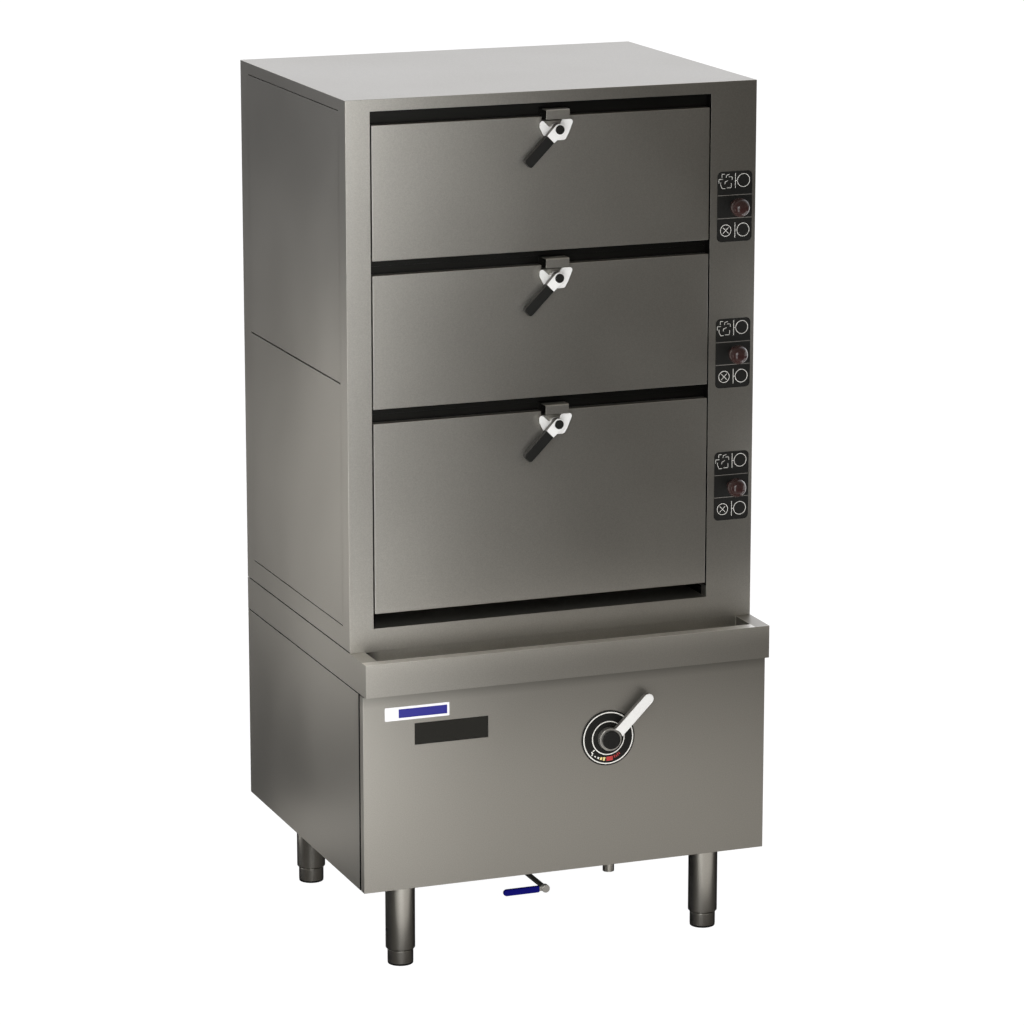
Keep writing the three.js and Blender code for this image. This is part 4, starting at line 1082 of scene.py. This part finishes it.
# %% Doors
tiers = ("bottom", "middle", "top")
door_gap = 3 * mm
door_thickness = 19.5 * mm
mouth_margin = 40 * mm
mouth_end_margin = 36 * mm
pan_inset = 12 * mm
pan_rise = 4 * mm
pan_taper = (0.985, 1, 0.97)
hinge_setback, hinge_radius = 8 * mm, 4 * mm
pin_outside, pin_inside = 10.5 * mm, 2 * mm
notch_half = 28 * mm
notch_depth = 9 * mm
slot_places, slot_half = (-70 * mm, 20 * mm), 15 * mm
door_left, door_right = opening["left"] + door_gap, opening["right"] - door_gap
door_back = case_front + door_thickness


def make_door(tier):
    low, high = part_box(f"door_{tier}")
    bottom, top = low[Z], high[Z]
    door = block(f"{tier}_door_skin", (door_left, case_front, bottom), (door_right, door_back, top))
    side = (mouth_margin - door_gap) + pan_inset
    end = mouth_end_margin + pan_inset
    for axis, level in (
        (X, door_left + side), (X, door_right - side), (Z, bottom + end), (Z, top - end),
    ):
        slice_at(door, axis, level)
    with editing(door):
        pick(
            door, "FACE",
            lambda f: f.normal.y > facing and door_left + side < middle(f).x < door_right - side
            and bottom + end < middle(f).z < top - end,
        )
        bpy.ops.mesh.extrude_region_move(TRANSFORM_OT_translate={"value": (0, pan_rise, 0)})
        bpy.ops.transform.resize(value=pan_taper)
    notch = block(
        "notch_cutter", (-notch_half, case_front - past, top - notch_depth),
        (notch_half, door_back + past, top + past),
    )
    slots = [
        block(
            "slot_cutter",
            (x - slot_half, door_back - 8 * mm, bottom - past),
            (x + slot_half, door_back - 3 * mm, bottom + 3 * mm),
        )
        for x in slot_places
    ]
    cut_away(door, notch, *slots)
    break_edges(door, 1.3 * mm, 3, 30)
    pins = []
    for start, end_x in (
        (door_left - pin_outside, door_left + pin_inside),
        (door_right - pin_inside, door_right + pin_outside),
    ):
        pin = drum(
            "hinge_pin", hinge_radius, X, start, end_x,
            (0, case_front + hinge_setback, bottom + hinge_setback), 24,
        )
        break_edges(pin, 0.6 * mm)
        pins.append(pin)
    return door, weld_together(pins, f"{tier}_door_pins")


for tier in tiers:
    door, pins = make_door(tier)
    dress(door, satin_steel, f"{tier}_door", [f"door_{tier}"])
    dress(pins, dark_steel, f"{tier}_door")
    print(door.name, "size:", [round(v, 3) for v in door.dimensions])

# %% [markdown]
# A black rubber seal runs round the pan. It is an endless frame with a soft section: a flat block
# with rounded corners, a smaller rounded block cut out of it, and all the edges well rounded.

# %% Door seals
seal_width = 14 * mm


def make_seal(tier):
    low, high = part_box(f"door_gasket_{tier}")
    seal = block(f"{tier}_door_seal", low, high)
    round_edges(seal, 12 * mm, 6, lambda e: runs_along(e, Y, mm))
    hole = block(
        "seal_cutter", (low[X] + seal_width, low[Y] - mm, low[Z] + seal_width),
        (high[X] - seal_width, high[Y] + mm, high[Z] - seal_width),
    )
    round_edges(hole, 5 * mm, 5, lambda e: runs_along(e, Y, mm))
    cut_away(seal, hole)
    break_edges(seal, 2.2 * mm, 3, 50)
    return seal


for tier in tiers:
    dress(make_seal(tier), seal_rubber, f"{tier}_door", [f"door_gasket_{tier}"])
print("seals made")

# %% [markdown]
# ## The keeps over the doors
# Each latch hooks behind a bent keep. It is one strip of steel: a tab riveted to the chamber's
# flange, a shelf forward over the door, and a lip turned down in front of it. The strip starts as
# a plane for the lip, and its top edge is drawn back and then down. Both folds are rounded before
# the strip gets its thickness.

# %% Keeps
keep_half = 25.5 * mm
keep_rise = 15.7 * mm
keep_drop = 4.3 * mm
keep_reach = 20 * mm
keep_sheet = 2 * mm
tab_back, tab_drop = 25.7 * mm, 13.5 * mm
rivet_radius, rivet_height = 3 * mm, 7.7 * mm
door_tops = {tier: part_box(f"door_{tier}")[1][Z] for tier in tiers}


def make_keep(top):
    clear_selection()
    bpy.ops.mesh.primitive_plane_add(
        size=1,
        location=(0, case_front - keep_reach, top + (keep_rise - keep_drop) / 2),
        rotation=(math.pi / 2, 0, 0),
    )
    keep = named("keep")
    with editing(keep):
        bpy.ops.mesh.select_all(action="SELECT")
        bpy.ops.transform.resize(value=(2 * keep_half, 1, keep_rise + keep_drop))
        pick(keep, "EDGE", lambda e: lies_at(e, Z, top + keep_rise))
        bpy.ops.mesh.extrude_edges_move(
            TRANSFORM_OT_translate={"value": (0, keep_reach + tab_back, 0)}
        )
        bpy.ops.mesh.extrude_edges_move(TRANSFORM_OT_translate={"value": (0, 0, -tab_drop)})
    round_edges(
        keep, 3 * mm, 5,
        lambda e: lies_at(e, Z, top + keep_rise) and runs_along(e, X, 10 * mm),
    )
    with editing(keep):
        bpy.ops.mesh.select_all(action="SELECT")
        bpy.ops.mesh.normals_make_consistent(inside=False)
    front = min(keep.data.polygons, key=lambda p: p.center.y)
    thicken(keep, keep_sheet if front.normal.y < 0 else -keep_sheet)
    break_edges(keep, 0.45 * mm, 2, 50)
    rivets = []
    for x in (-keep_half / 2, keep_half / 2):
        rivet = drum(
            "rivet", rivet_radius, Y, case_front + tab_back - keep_sheet - mm,
            case_front + tab_back - keep_sheet + 0.2 * mm, (x, 0, top + rivet_height), 20,
        )
        break_edges(rivet, 0.5 * mm, 2, 50)
        rivets.append(rivet)
    return weld_together([keep, *rivets], "keep")


# %% [markdown]
# One keep is made over the lowest door and copied up to the two others. It is darker behind its
# lip, in the shade of the shelf.

# %% Keeps in place
keep_steel = satin("keep_steel")
shade_box(
    keep_steel, (-beyond, case_front + 2 * mm, 0), (beyond, beyond, beyond), (0.03, 0.029, 0.027),
    6 * mm,
)
first_keep = make_keep(door_tops["bottom"])
for tier in tiers:
    rise = door_tops[tier] - door_tops["bottom"]
    keep = copy_moved(first_keep, f"{tier}_keep", (0, 0, rise))
    dress(keep, keep_steel, "cabinet", [f"strike_{tier}"])
throw_away(first_keep)
print("keeps made")

# %% [markdown]
# ## The latches
# The latch is the cabinet's finest mechanism. A cast lever turns on a post on the door. Its flat
# claw has two horns, and one of them swings behind the keep's lip. A plate with a free outline
# starts as a flat disc with one corner for each point of the outline, and is then drawn out.

# %% Plate with a drawn outline
def front_plate(name, outline, front, back, centre=(0, 0)):
    """A plate seen from the front. outline holds its corners in X and Z, round from any start."""
    clear_selection()
    bpy.ops.mesh.primitive_circle_add(
        vertices=len(outline), radius=1, fill_type="NGON", rotation=(math.pi / 2, 0, 0)
    )
    plate = named(name)
    for corner, (x, z) in zip(plate.data.vertices, outline):
        corner.co = (centre[0] + x, front, centre[1] + z)
    with editing(plate):
        bpy.ops.mesh.select_all(action="SELECT")
        bpy.ops.mesh.extrude_region_move(
            TRANSFORM_OT_translate={"value": (0, back - front, 0)}
        )
        bpy.ops.mesh.select_all(action="SELECT")
        bpy.ops.mesh.normals_make_consistent(inside=False)
    return plate


def turned_outline(points, degrees):
    turn = math.radians(degrees)
    return [
        (x * math.cos(turn) - z * math.sin(turn), x * math.sin(turn) + z * math.cos(turn))
        for x, z in points
    ]


def arc(centre_x, centre_z, radius, start, end, steps):
    return [
        (
            centre_x + radius * math.cos(math.radians(start + (end - start) * step / steps)),
            centre_z + radius * math.sin(math.radians(start + (end - start) * step / steps)),
        )
        for step in range(steps + 1)
    ]


# %% [markdown]
# The lever hangs down to the left, as in the picture. Claw, hub and arm are one casting, with a
# bore through all three for the post. All depths are counted from the front of the doors.

# %% Latch lever
latch_drop = 24.6 * mm
lever_turn = 225
claw_front, claw_back = -12.5 * mm, -9.5 * mm
hub_front, hub_back = -29 * mm, -7.8 * mm
arm_back = -15.5 * mm
hub_radius, bore_radius, bore_reach = 12 * mm, 4.9 * mm, 40 * mm
claw_outline = [
    (x * mm, z * mm)
    for x, z in (
        [(7.5, 10.5), (12.2, 18.6)] + arc(29.2, 12.8, 6, 80, -18, 6) + [(26, -10.5)]
        + arc(14.6, -16.9, 6.8, -20, -80, 4) + [(4, -23.8)] + arc(-20.5, -9.5, 8.5, -105, -150, 4)
        + [(-36.6, 3)] + arc(-31, 11, 5.8, 185, 60, 7) + [(-16.2, 4.6)]
    )
]
arm_outline = [
    (x * mm, z * mm)
    for x, z in (
        [(-3, -11.8), (10, -11.6)] + arc(26.2, -9.6, 1.2, -85, -5, 3)
        + arc(26.2, 9.6, 1.2, 5, 85, 3) + [(10, 11.6), (-3, 11.8)]
    )
]


def make_lever(pivot_z):
    pivot = (0, pivot_z)
    front = case_front
    claw = front_plate("claw", claw_outline, front + claw_front, front + claw_back, pivot)
    break_edges(claw, 0.7 * mm, 2, 40)
    hub = drum("hub", hub_radius, Y, front + hub_front, front + hub_back, (0, 0, pivot_z), 48)
    break_edges(hub, 0.9 * mm, 3, 40)
    arm = front_plate(
        "arm", turned_outline(arm_outline, lever_turn), front + hub_front + 0.05 * mm,
        front + arm_back, pivot,
    )
    break_edges(arm, 0.9 * mm, 3, 40)
    for part in (claw, hub, arm):
        cut_away(
            part,
            drum("bore_cutter", bore_radius, Y, front - bore_reach, front, (0, 0, pivot_z), 32),
        )
    return weld_together([claw, hub, arm], "lever")


print("claw corners:", len(claw_outline), "arm corners:", len(arm_outline))

# %% [markdown]
# The grip is a black sleeve with rounded corners, a little deeper than the arm it covers. The post
# is fixed in the door: a boss on the door's skin and a pin through the lever's bore. A black cap in
# front of the hub holds the lever on it.

# %% Latch grip and post
grip_middle, grip_half_depth = (hub_front + arm_back) / 2, 7 * mm
boss_radius, boss_front = 10 * mm, -7.5 * mm
post_radius, post_front = 4.5 * mm, -30 * mm
cap_radius, cap_front, cap_back = 9.6 * mm, -32.2 * mm, -29.3 * mm


def make_grip(pivot_z):
    half, start, end, corner = 10.4 * mm, 27.6 * mm, 98.5 * mm, 5 * mm
    outline = (
        [(start, -half)] + arc(end - corner, corner - half, corner, -90, 0, 6)
        + arc(end - corner, half - corner, corner, 0, 90, 6) + [(start, half)]
    )
    grip = front_plate(
        "grip", turned_outline(outline, lever_turn), case_front + grip_middle - grip_half_depth,
        case_front + grip_middle + grip_half_depth, (0, pivot_z),
    )
    break_edges(grip, 0.9 * mm, 3, 50)
    return grip


def make_post(pivot_z):
    """The fixed post: a boss on the door, the pin through the lever and the cap that holds it."""
    centre, front = (0, 0, pivot_z), case_front
    boss = drum("boss", boss_radius, Y, front + boss_front, front + 0.5 * mm, centre, 40)
    break_edges(boss, 0.8 * mm)
    pin = drum("pin", post_radius, Y, front + post_front, front, centre, 32)
    cap = drum("cap", cap_radius, Y, front + cap_front, front + cap_back, centre, 40)
    break_edges(cap, 1.1 * mm, 3)
    return weld_together([boss, pin], "post"), cap


print("grip from", grip_middle - grip_half_depth, "to", grip_middle + grip_half_depth)

# %% [markdown]
# One latch is made at the lowest door and copied to the three doors, each on its own body.

# %% Latches in place
pivot_levels = {tier: door_tops[tier] - latch_drop for tier in tiers}
start_level = pivot_levels["bottom"]
lever, grip = make_lever(start_level), make_grip(start_level)
post, cap = make_post(start_level)
for tier in tiers:
    rise = (0, 0, pivot_levels[tier] - start_level)
    latch_body = f"{tier}_latch"
    dress(copy_moved(lever, f"{tier}_latch_casting", rise), cast_lever, latch_body,
          [f"latch_lever_{tier}"])
    dress(copy_moved(grip, f"{tier}_grip_sleeve", rise), black_plastic, latch_body,
          [f"latch_grip_{tier}"])
    dress(copy_moved(post, f"{tier}_latch_post", rise), hub_metal, f"{tier}_door")
    dress(copy_moved(cap, f"{tier}_latch_cap", rise), black_plastic, f"{tier}_door")
throw_away(lever, grip, post, cap)
print("latches made, pivots at", {tier: round(z, 4) for tier, z in pivot_levels.items()})

# %% [markdown]
# ## The valve pulls
# A polished ball on a rod works each chamber's steam valve. The ball starts as a sphere with its
# pole towards the post. The polar cap is taken off and the open rim is drawn back into a neck, with
# a round foot behind it. The rod carries a collar, which sits at the post while the pull is in.

# %% Valve pulls
cap_angle, neck_length, rod_end = 22, 2.5 * mm, 90 * mm


def make_pull(centre_x, centre_z):
    radius, reach = 20 * mm, 36 * mm
    centre = (centre_x, 0, centre_z)
    clear_selection()
    bpy.ops.mesh.primitive_uv_sphere_add(
        segments=48, ring_count=24, radius=radius,
        location=(centre_x, case_front - reach, centre_z), rotation=(-math.pi / 2, 0, 0),
    )
    ball = named("ball")
    neck_level = case_front - reach + radius * math.cos(math.radians(cap_angle))
    delete_faces(ball, lambda f: middle(f).y > neck_level)
    with editing(ball):
        pick(ball, "EDGE", lambda e: e.is_boundary)
        bpy.ops.mesh.extrude_edges_move(TRANSFORM_OT_translate={"value": (0, neck_length, 0)})
        bpy.ops.mesh.edge_face_add()
    break_edges(ball, 0.7 * mm, 2, 40)
    foot = drum(
        "ball_foot", 13 * mm, Y, case_front - reach + 17.5 * mm, case_front - reach + 22 * mm,
        centre, 48,
    )
    break_edges(foot, 1.4 * mm, 3, 40)
    ball = weld_together([ball, foot], "ball")
    collar = drum(
        "collar", 8.5 * mm, Y, case_front - 9.3 * mm, case_front - 0.3 * mm, centre, 40
    )
    break_edges(collar, 1.6 * mm, 3)
    rod = drum("rod", 5 * mm, Y, case_front - 20 * mm, case_front + rod_end, centre, 32)
    break_edges(rod, 0.6 * mm)
    return ball, weld_together([collar, rod], "rod")


pull_low, pull_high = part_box("valve_knob_bottom")
pull_x, pull_z = (pull_low[X] + pull_high[X]) / 2, (pull_low[Z] + pull_high[Z]) / 2
pull_levels = {
    tier: sum(end[Z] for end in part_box(f"valve_knob_{tier}")) / 2 for tier in tiers
}
ball, rod = make_pull(pull_x, pull_z)
for tier in tiers:
    rise = (0, 0, pull_levels[tier] - pull_z)
    dress(copy_moved(ball, f"{tier}_valve_ball", rise), resin_ball, f"{tier}_valve_pull",
          [f"valve_knob_{tier}"])
    dress(copy_moved(rod, f"{tier}_valve_rod", rise), black_plastic, f"{tier}_valve_pull")
throw_away(ball, rod)
print("valve pulls at", {tier: round(z, 4) for tier, z in pull_levels.items()})

# %% [markdown]
# Prints are thin raised strokes that sink a little into the film under them. Two helpers draw them
# all: a straight bar between two points, and a ring.

# %% Printed strokes
print_rise, print_sink = 0.18 * mm, 0.05 * mm
label_front = case_front - 0.3 * mm


def bar(x0, z0, x1, z1, width):
    """A straight printed stroke between two points of the label."""
    length = math.hypot(x1 - x0, z1 - z0)
    turn = math.degrees(math.atan2(z1 - z0, x1 - x0))
    half = width / 2
    outline = [(0, -half), (length, -half), (length, half), (0, half)]
    return front_plate(
        "stroke", turned_outline(outline, turn), label_front - print_rise,
        label_front + print_sink, (x0, z0),
    )


def ring(x, z, radius, width, front=label_front, steps=40):
    """A printed ring: a disc inset by the line's width, with its middle taken out and drawn back."""
    clear_selection()
    bpy.ops.mesh.primitive_circle_add(
        vertices=steps, radius=radius, fill_type="NGON", location=(x, front - print_rise, z),
        rotation=(math.pi / 2, 0, 0),
    )
    piece = named("ring")
    with editing(piece):
        bpy.ops.mesh.select_mode(type="FACE")
        bpy.ops.mesh.select_all(action="SELECT")
        bpy.ops.mesh.inset(thickness=width)
        bpy.ops.mesh.delete(type="FACE")
        bpy.ops.mesh.select_all(action="SELECT")
        bpy.ops.mesh.extrude_region_move(
            TRANSFORM_OT_translate={"value": (0, print_rise + print_sink, 0)}
        )
        bpy.ops.mesh.select_all(action="SELECT")
        bpy.ops.mesh.normals_make_consistent(inside=False)
    return piece


print("prints stand", print_rise, "proud")

# %% [markdown]
# Behind each pull a black film label is stuck on the post. It has three fields, parted by two grey
# lines, with line symbols for pulled out and pushed in above and below the pull: bars, rings, a
# cross and a pot. The words are left out.

# %% Label film and symbols
label_left, label_right = 363 * mm, 442 * mm
label_above, label_below = 70.8 * mm, 77 * mm
symbol_from_top, symbol_from_bottom = 20 * mm, 24 * mm
stroke_width = 1.0 * mm


def make_label(z):
    left, right = label_left, label_right
    top, bottom = z + label_above, z - label_below
    film = block("film", (left, label_front, bottom), (right, case_front, top))
    round_edges(film, 10 * mm, 6, lambda e: runs_along(e, Y, 0.2 * mm))
    strokes = []
    for level in (top - symbol_from_top, bottom + symbol_from_bottom):
        strokes += [
            bar(
                left + 40.7 * mm, level - 15.7 * mm, left + 40.7 * mm, level + 15.7 * mm,
                stroke_width,
            ),
            bar(left + 41.4 * mm, level, left + 45.8 * mm, level, stroke_width),
            ring(left + 59.2 * mm, level, 14.3 * mm, 1.05 * mm),
        ]
    cross_x, cross_z, reach = left + 19.9 * mm, bottom + symbol_from_bottom, 6.3 * mm
    strokes += [
        ring(cross_x, cross_z, 12.5 * mm, stroke_width),
        bar(cross_x - reach, cross_z - reach, cross_x + reach, cross_z + reach, stroke_width),
        bar(cross_x - reach, cross_z + reach, cross_x + reach, cross_z - reach, stroke_width),
    ]
    lines = [
        bar(left + 0.2 * mm, level, right - 0.2 * mm, level, 1.4 * mm)
        for level in (z + 20.8 * mm, z - 27.5 * mm)
    ]
    return film, strokes, weld_together(lines, "lines"), (left, top)


def pot_symbol(left, top):
    """A pot with steam over it, in strokes whose ends are counted from the label's corner."""
    points = (
        (3.2, 16, 11.5, 16), (3.2, 16, 3.2, 24), (7.4, 22.6, 7.4, 28), (7.4, 28, 11, 35.6),
        (11, 35.6, 18, 35.6), (21, 34.4, 31, 34.4), (31.4, 33.6, 31.4, 25),
        (17, 26.4, 17.6, 21.4), (17.6, 21.4, 24, 19),
        (10, 5.4, 16.5, 5.4), (10, 5.4, 10, 12.4), (19.4, 13, 20.6, 8), (20.6, 8, 27.4, 6),
        (25.4, 11.4, 32, 11.4), (33, 11.6, 33, 18),
    )
    return [
        bar(left + a * mm, top - b * mm, left + c * mm, top - d * mm, 0.85 * mm)
        for a, b, c, d in points
    ]


# %% [markdown]
# The label is drawn once, at the lowest pull, and copied to all three.

# %% Labels in place
film, strokes, lines, corner = make_label(pull_z)
symbols = weld_together(strokes + pot_symbol(*corner), "symbols")
for tier in tiers:
    rise = (0, 0, pull_levels[tier] - pull_z)
    dress(copy_moved(film, f"{tier}_label_film", rise), label_film, "cabinet")
    dress(copy_moved(symbols, f"{tier}_label_symbols", rise), white_print, "cabinet")
    dress(copy_moved(lines, f"{tier}_label_lines", rise), grey_print, "cabinet")
throw_away(film, symbols, lines)
print("labels made")

# %% [markdown]
# ## The gas control
# A black dial with two white rings and a row of heat marks lies under a hub with one flat lever.
# The gas spindle passes through the dial's middle.

# %% Dial and its rings
dial_x, dial_z = dial_centre[X], dial_centre[Z]
dial_middle = (dial_x, 0, dial_z)
dial_front = dial_low[Y]
dial_radius, spindle_hole = 59.6 * mm, 6.4 * mm
dial = drum("dial_disc", dial_radius, Y, dial_front, dial_high[Y], dial_middle, 96)
cut_away(
    dial,
    drum("spindle_hole", spindle_hole, Y, dial_front - 9 * mm, dial_front + 9 * mm, dial_middle, 32),
)
break_edges(dial, 0.5 * mm, 2, 50)
dress(dial, black_plastic, "cabinet", ["dial_plate"])

rings = weld_together(
    [
        ring(dial_x, dial_z, 56.4 * mm, 2.4 * mm, dial_front, 96),
        ring(dial_x, dial_z, 36.8 * mm, 2.2 * mm, dial_front, 72),
    ],
    "dial_rings",
)
dress(rings, white_print, "cabinet")
print("dial dressed")

# %% [markdown]
# The heat marks run from white through yellow to red. They are plain blocks in place of any
# lettering. Each one has its angle round the dial, its distance from the middle, and its size.

# %% Heat marks
def heat_mark(angle, reach, width, height, finish, name):
    half, tall = width / 2, height / 2
    outline = [(-half, -tall), (half, -tall), (half, tall), (-half, tall)]
    turn = math.radians(angle)
    mark = front_plate(
        name, turned_outline([(x * mm, z * mm) for x, z in outline], angle + 90),
        dial_front - print_rise, dial_front + print_sink,
        (dial_x + reach * mm * math.cos(turn), dial_z + reach * mm * math.sin(turn)),
    )
    dress(mark, finish, "cabinet")


for number, (angle, reach, width, height, finish) in enumerate((
    (217, 41.5, 2.2, 5.5, white_print), (219, 46.5, 6.2, 2.4, white_print),
    (223, 49.5, 2.2, 3.6, white_print), (232, 48, 4.2, 2.2, white_print),
    (241.4, 47, 4, 3.8, white_print), (249.8, 46.2, 4.4, 6, yellow_print),
    (258.3, 45.7, 4.6, 7.6, yellow_print), (274, 45, 14.5, 9, red_print),
    (289, 43.5, 2, 6.5, red_print), (294.5, 44.5, 2, 4.5, red_print),
    (299.5, 43, 2, 6.5, red_print), (305, 43.5, 2, 4.5, red_print),
)):
    heat_mark(angle, reach, width, height, finish, f"heat_mark_{number + 1}")
print("heat marks made:", number + 1)

# %% [markdown]
# The lever is a flat bar with a round end, set low on its hub. Hub and bar have softly broken
# edges, and a black cap with a rounded rim closes the hub.

# %% Gas lever and cap
panel_front = base_panel_low[Y]
gas_hub_radius, gas_spindle_radius, gas_cap_radius = 24.5 * mm, 6 * mm, 19.5 * mm
gas_lever_turn = 45
hub = drum(
    "gas_hub", gas_hub_radius, Y, panel_front - 17 * mm, panel_front - 2.6 * mm, dial_middle, 72
)
break_edges(hub, 1.2 * mm, 3, 40)
spindle = drum(
    "gas_spindle", gas_spindle_radius, Y, panel_front - 10 * mm, panel_front + 55 * mm,
    dial_middle, 32,
)
hub = weld_together([hub, spindle], "gas_hub")
dress(hub, hub_metal, "gas_control")
bar_outline = (
    [(21.8 * mm, -12 * mm), (27 * mm, -11.3 * mm)] + arc(116 * mm, 0, 11.2 * mm, -90, 90, 14)
    + [(27 * mm, 11.3 * mm), (21.8 * mm, 12 * mm)] + arc(0, 0, 24.2 * mm, 26, -26, 6)
)
gas_bar = front_plate(
    "gas_lever_bar", turned_outline(bar_outline, gas_lever_turn), panel_front - 25 * mm,
    panel_front - 12 * mm, (dial_x, dial_z),
)
break_edges(gas_bar, 1.0 * mm, 3, 40)
dress(gas_bar, cast_lever, "gas_control", ["gas_lever"])

cap_low, cap_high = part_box("gas_lever_cap")
gas_cap = drum("gas_hub_cap", gas_cap_radius, Y, cap_low[Y], cap_high[Y], dial_middle, 64)
break_edges(gas_cap, 1.8 * mm, 4, 40)
dress(gas_cap, black_plastic, "gas_control", ["gas_lever_cap"])
print("gas lever made")

# %% [markdown]
# ## Legs and feet
# A leg is a round tube under a square flange that is bolted to the floor of the base. Its lower
# end is rounded and hollow, so that the foot can screw up into it.

# %% Legs
foot_level = 34 * mm
tube_radius, tube_wall, tube_hollow = 31.2 * mm, 1.6 * mm, 24 * mm
bolt_radius, bolt_place = 5 * mm, 38 * mm


def make_leg(corner):
    low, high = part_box(f"leg_{corner}")
    x, y = (low[X] + high[X]) / 2, (low[Y] + high[Y]) / 2
    tube = drum("tube", tube_radius, Z, foot_level, high[Z] - 3 * mm, (x, y, 0), 64)
    round_edges(tube, 2.2 * mm, 3, lambda e: lies_at(e, Z, foot_level))
    with editing(tube):
        pick(tube, "FACE", lambda f: lies_at(f, Z, foot_level))
        bpy.ops.mesh.inset(thickness=tube_wall)
        bpy.ops.mesh.extrude_region_move(TRANSFORM_OT_translate={"value": (0, 0, tube_hollow)})
    flange = block("flange", (low[X], low[Y], high[Z] - 4 * mm), high)
    round_edges(flange, 8 * mm, 4, lambda e: runs_along(e, Z, 2 * mm))
    bolts = []
    for dx in (-bolt_place, bolt_place):
        for dy in (-bolt_place, bolt_place):
            bolt = drum(
                "bolt", bolt_radius, Z, high[Z] - 7 * mm, high[Z] - 3.5 * mm,
                (x + dx, y + dy, 0), 6,
            )
            break_edges(bolt, 0.5 * mm)
            bolts.append(bolt)
    return weld_together([tube, flange, *bolts], f"{corner}_leg_tube")


print("legs end", foot_level, "above the floor")

# %% [markdown]
# The foot is a turned cup that screws in and out for levelling, with a thin black pad under it. Its
# shoulder and stem are the cup's top face, inset and drawn up twice.

# %% Feet
pad_top, pad_radius = 4 * mm, 27 * mm
cup_radius, cup_gap = 27.3 * mm, 2.6 * mm
shoulder_rise, shoulder_inset, stem_inset = 4.6 * mm, 8 * mm, 9 * mm


def make_foot(corner):
    low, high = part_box(f"foot_{corner}")
    x, y = (low[X] + high[X]) / 2, (low[Y] + high[Y]) / 2
    cup_top = foot_level - cup_gap
    cup = drum("cup", cup_radius, Z, pad_top, cup_top, (x, y, 0), 64)
    break_edges(cup, 0.5 * mm, 2, 40)
    with editing(cup):
        pick(cup, "FACE", lambda f: lies_at(f, Z, cup_top))
        bpy.ops.mesh.inset(thickness=shoulder_inset)
        bpy.ops.mesh.extrude_region_move(TRANSFORM_OT_translate={"value": (0, 0, shoulder_rise)})
        bpy.ops.mesh.inset(thickness=stem_inset)
        bpy.ops.mesh.extrude_region_move(
            TRANSFORM_OT_translate={"value": (0, 0, high[Z] - cup_top - shoulder_rise)}
        )
    pad = drum("pad", pad_radius, Z, 0, pad_top, (x, y, 0), 64)
    round_edges(pad, 1.2 * mm, 3, lambda e: lies_at(e, Z, 0))
    return cup, pad


for corner in ("front_left", "front_right", "back_left", "back_right"):
    leg = make_leg(corner)
    dress(leg, tube_steel, "cabinet", [f"leg_{corner}"])
    cup, pad = make_foot(corner)
    cup.name = cup.data.name = f"{corner}_foot_cup"
    pad.name = pad.data.name = f"{corner}_foot_pad"
    dress(cup, tube_steel, f"{corner}_foot", [f"foot_{corner}"])
    dress(pad, seal_rubber, f"{corner}_foot")
print("legs and feet made")

# %% [markdown]
# ## The drain
# Under the base a long stem leads from the drain valve to the front, where a flat lever turns it.
# A hub joins the lever's blade to the stem. The blue sleeve over the blade is round at its far end.

# %% Drain lever and sleeve
lever_low, lever_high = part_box("drain_lever")
sleeve_low, sleeve_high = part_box("drain_lever_sleeve")
drain_hub_radius, stem_radius = 8.5 * mm, 5.4 * mm
blade_half_height, blade_half_depth = 5 * mm, 2 * mm
drain_x = lever_high[X] - drain_hub_radius
drain_z = (lever_low[Z] + lever_high[Z]) / 2
blade_y = (sleeve_low[Y] + sleeve_high[Y]) / 2
drain_axis = (drain_x, 0, drain_z)

stem = drum("drain_stem_rod", stem_radius, Y, blade_y, lever_high[Y], drain_axis, 32)
break_edges(stem, 0.5 * mm)
hub = drum("drain_hub", drain_hub_radius, Y, blade_y - 6 * mm, blade_y + 6 * mm, drain_axis, 40)
break_edges(hub, 1.3 * mm, 3)
blade = block(
    "drain_blade",
    (sleeve_low[X] + 7 * mm, blade_y - blade_half_depth, drain_z - blade_half_height),
    (drain_x - 5 * mm, blade_y + blade_half_depth, drain_z + blade_half_height),
)
break_edges(blade, 0.8 * mm)
dress(stem, dark_steel, "drain_control", ["drain_lever"])
dress(weld_together([hub, blade], "drain_hub_blade"), hub_metal, "drain_control")

sleeve_length = sleeve_high[X] - sleeve_low[X] + 2.5 * mm
sleeve_outline = (
    arc(7 * mm, 0, 7 * mm, 90, 270, 12) + arc(sleeve_length - 3 * mm, -4 * mm, 3 * mm, 270, 360, 3)
    + arc(sleeve_length - 3 * mm, 4 * mm, 3 * mm, 0, 90, 3)
)
sleeve = front_plate(
    "drain_sleeve", sleeve_outline, sleeve_low[Y], sleeve_high[Y], (sleeve_low[X], drain_z)
)
break_edges(sleeve, 2.4 * mm, 4, 50)
dress(sleeve, dipped_vinyl, "drain_control", ["drain_lever_sleeve"])
print("drain dressed")

# %% [markdown]
# ## Inside and under the cabinet
# The chambers, racks, tank, burner, pipes and valves keep the shapes of the construction. They
# only need their finishes, which show when a door is open or when one looks in from below.

# %% Finishes of the pieces that stay
for node, finish in (
    ("steam_chamber_bottom", chamber_steel), ("steam_chamber_middle", chamber_steel),
    ("steam_chamber_top", chamber_steel), ("shelf_rack_bottom", tube_steel),
    ("shelf_rack_middle", tube_steel), ("shelf_rack_top", tube_steel),
    ("steam_riser", tube_steel), ("water_tank", chamber_steel), ("burner", burner_iron),
    ("overflow_pipe", tube_steel), ("drain_valve", valve_brass), ("gas_valve", valve_brass),
    ("base_floor", galvanised_sheet),
):
    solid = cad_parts[node]
    solid.data.materials.clear()
    solid.data.materials.append(finish)
print("carried-over nodes finished")
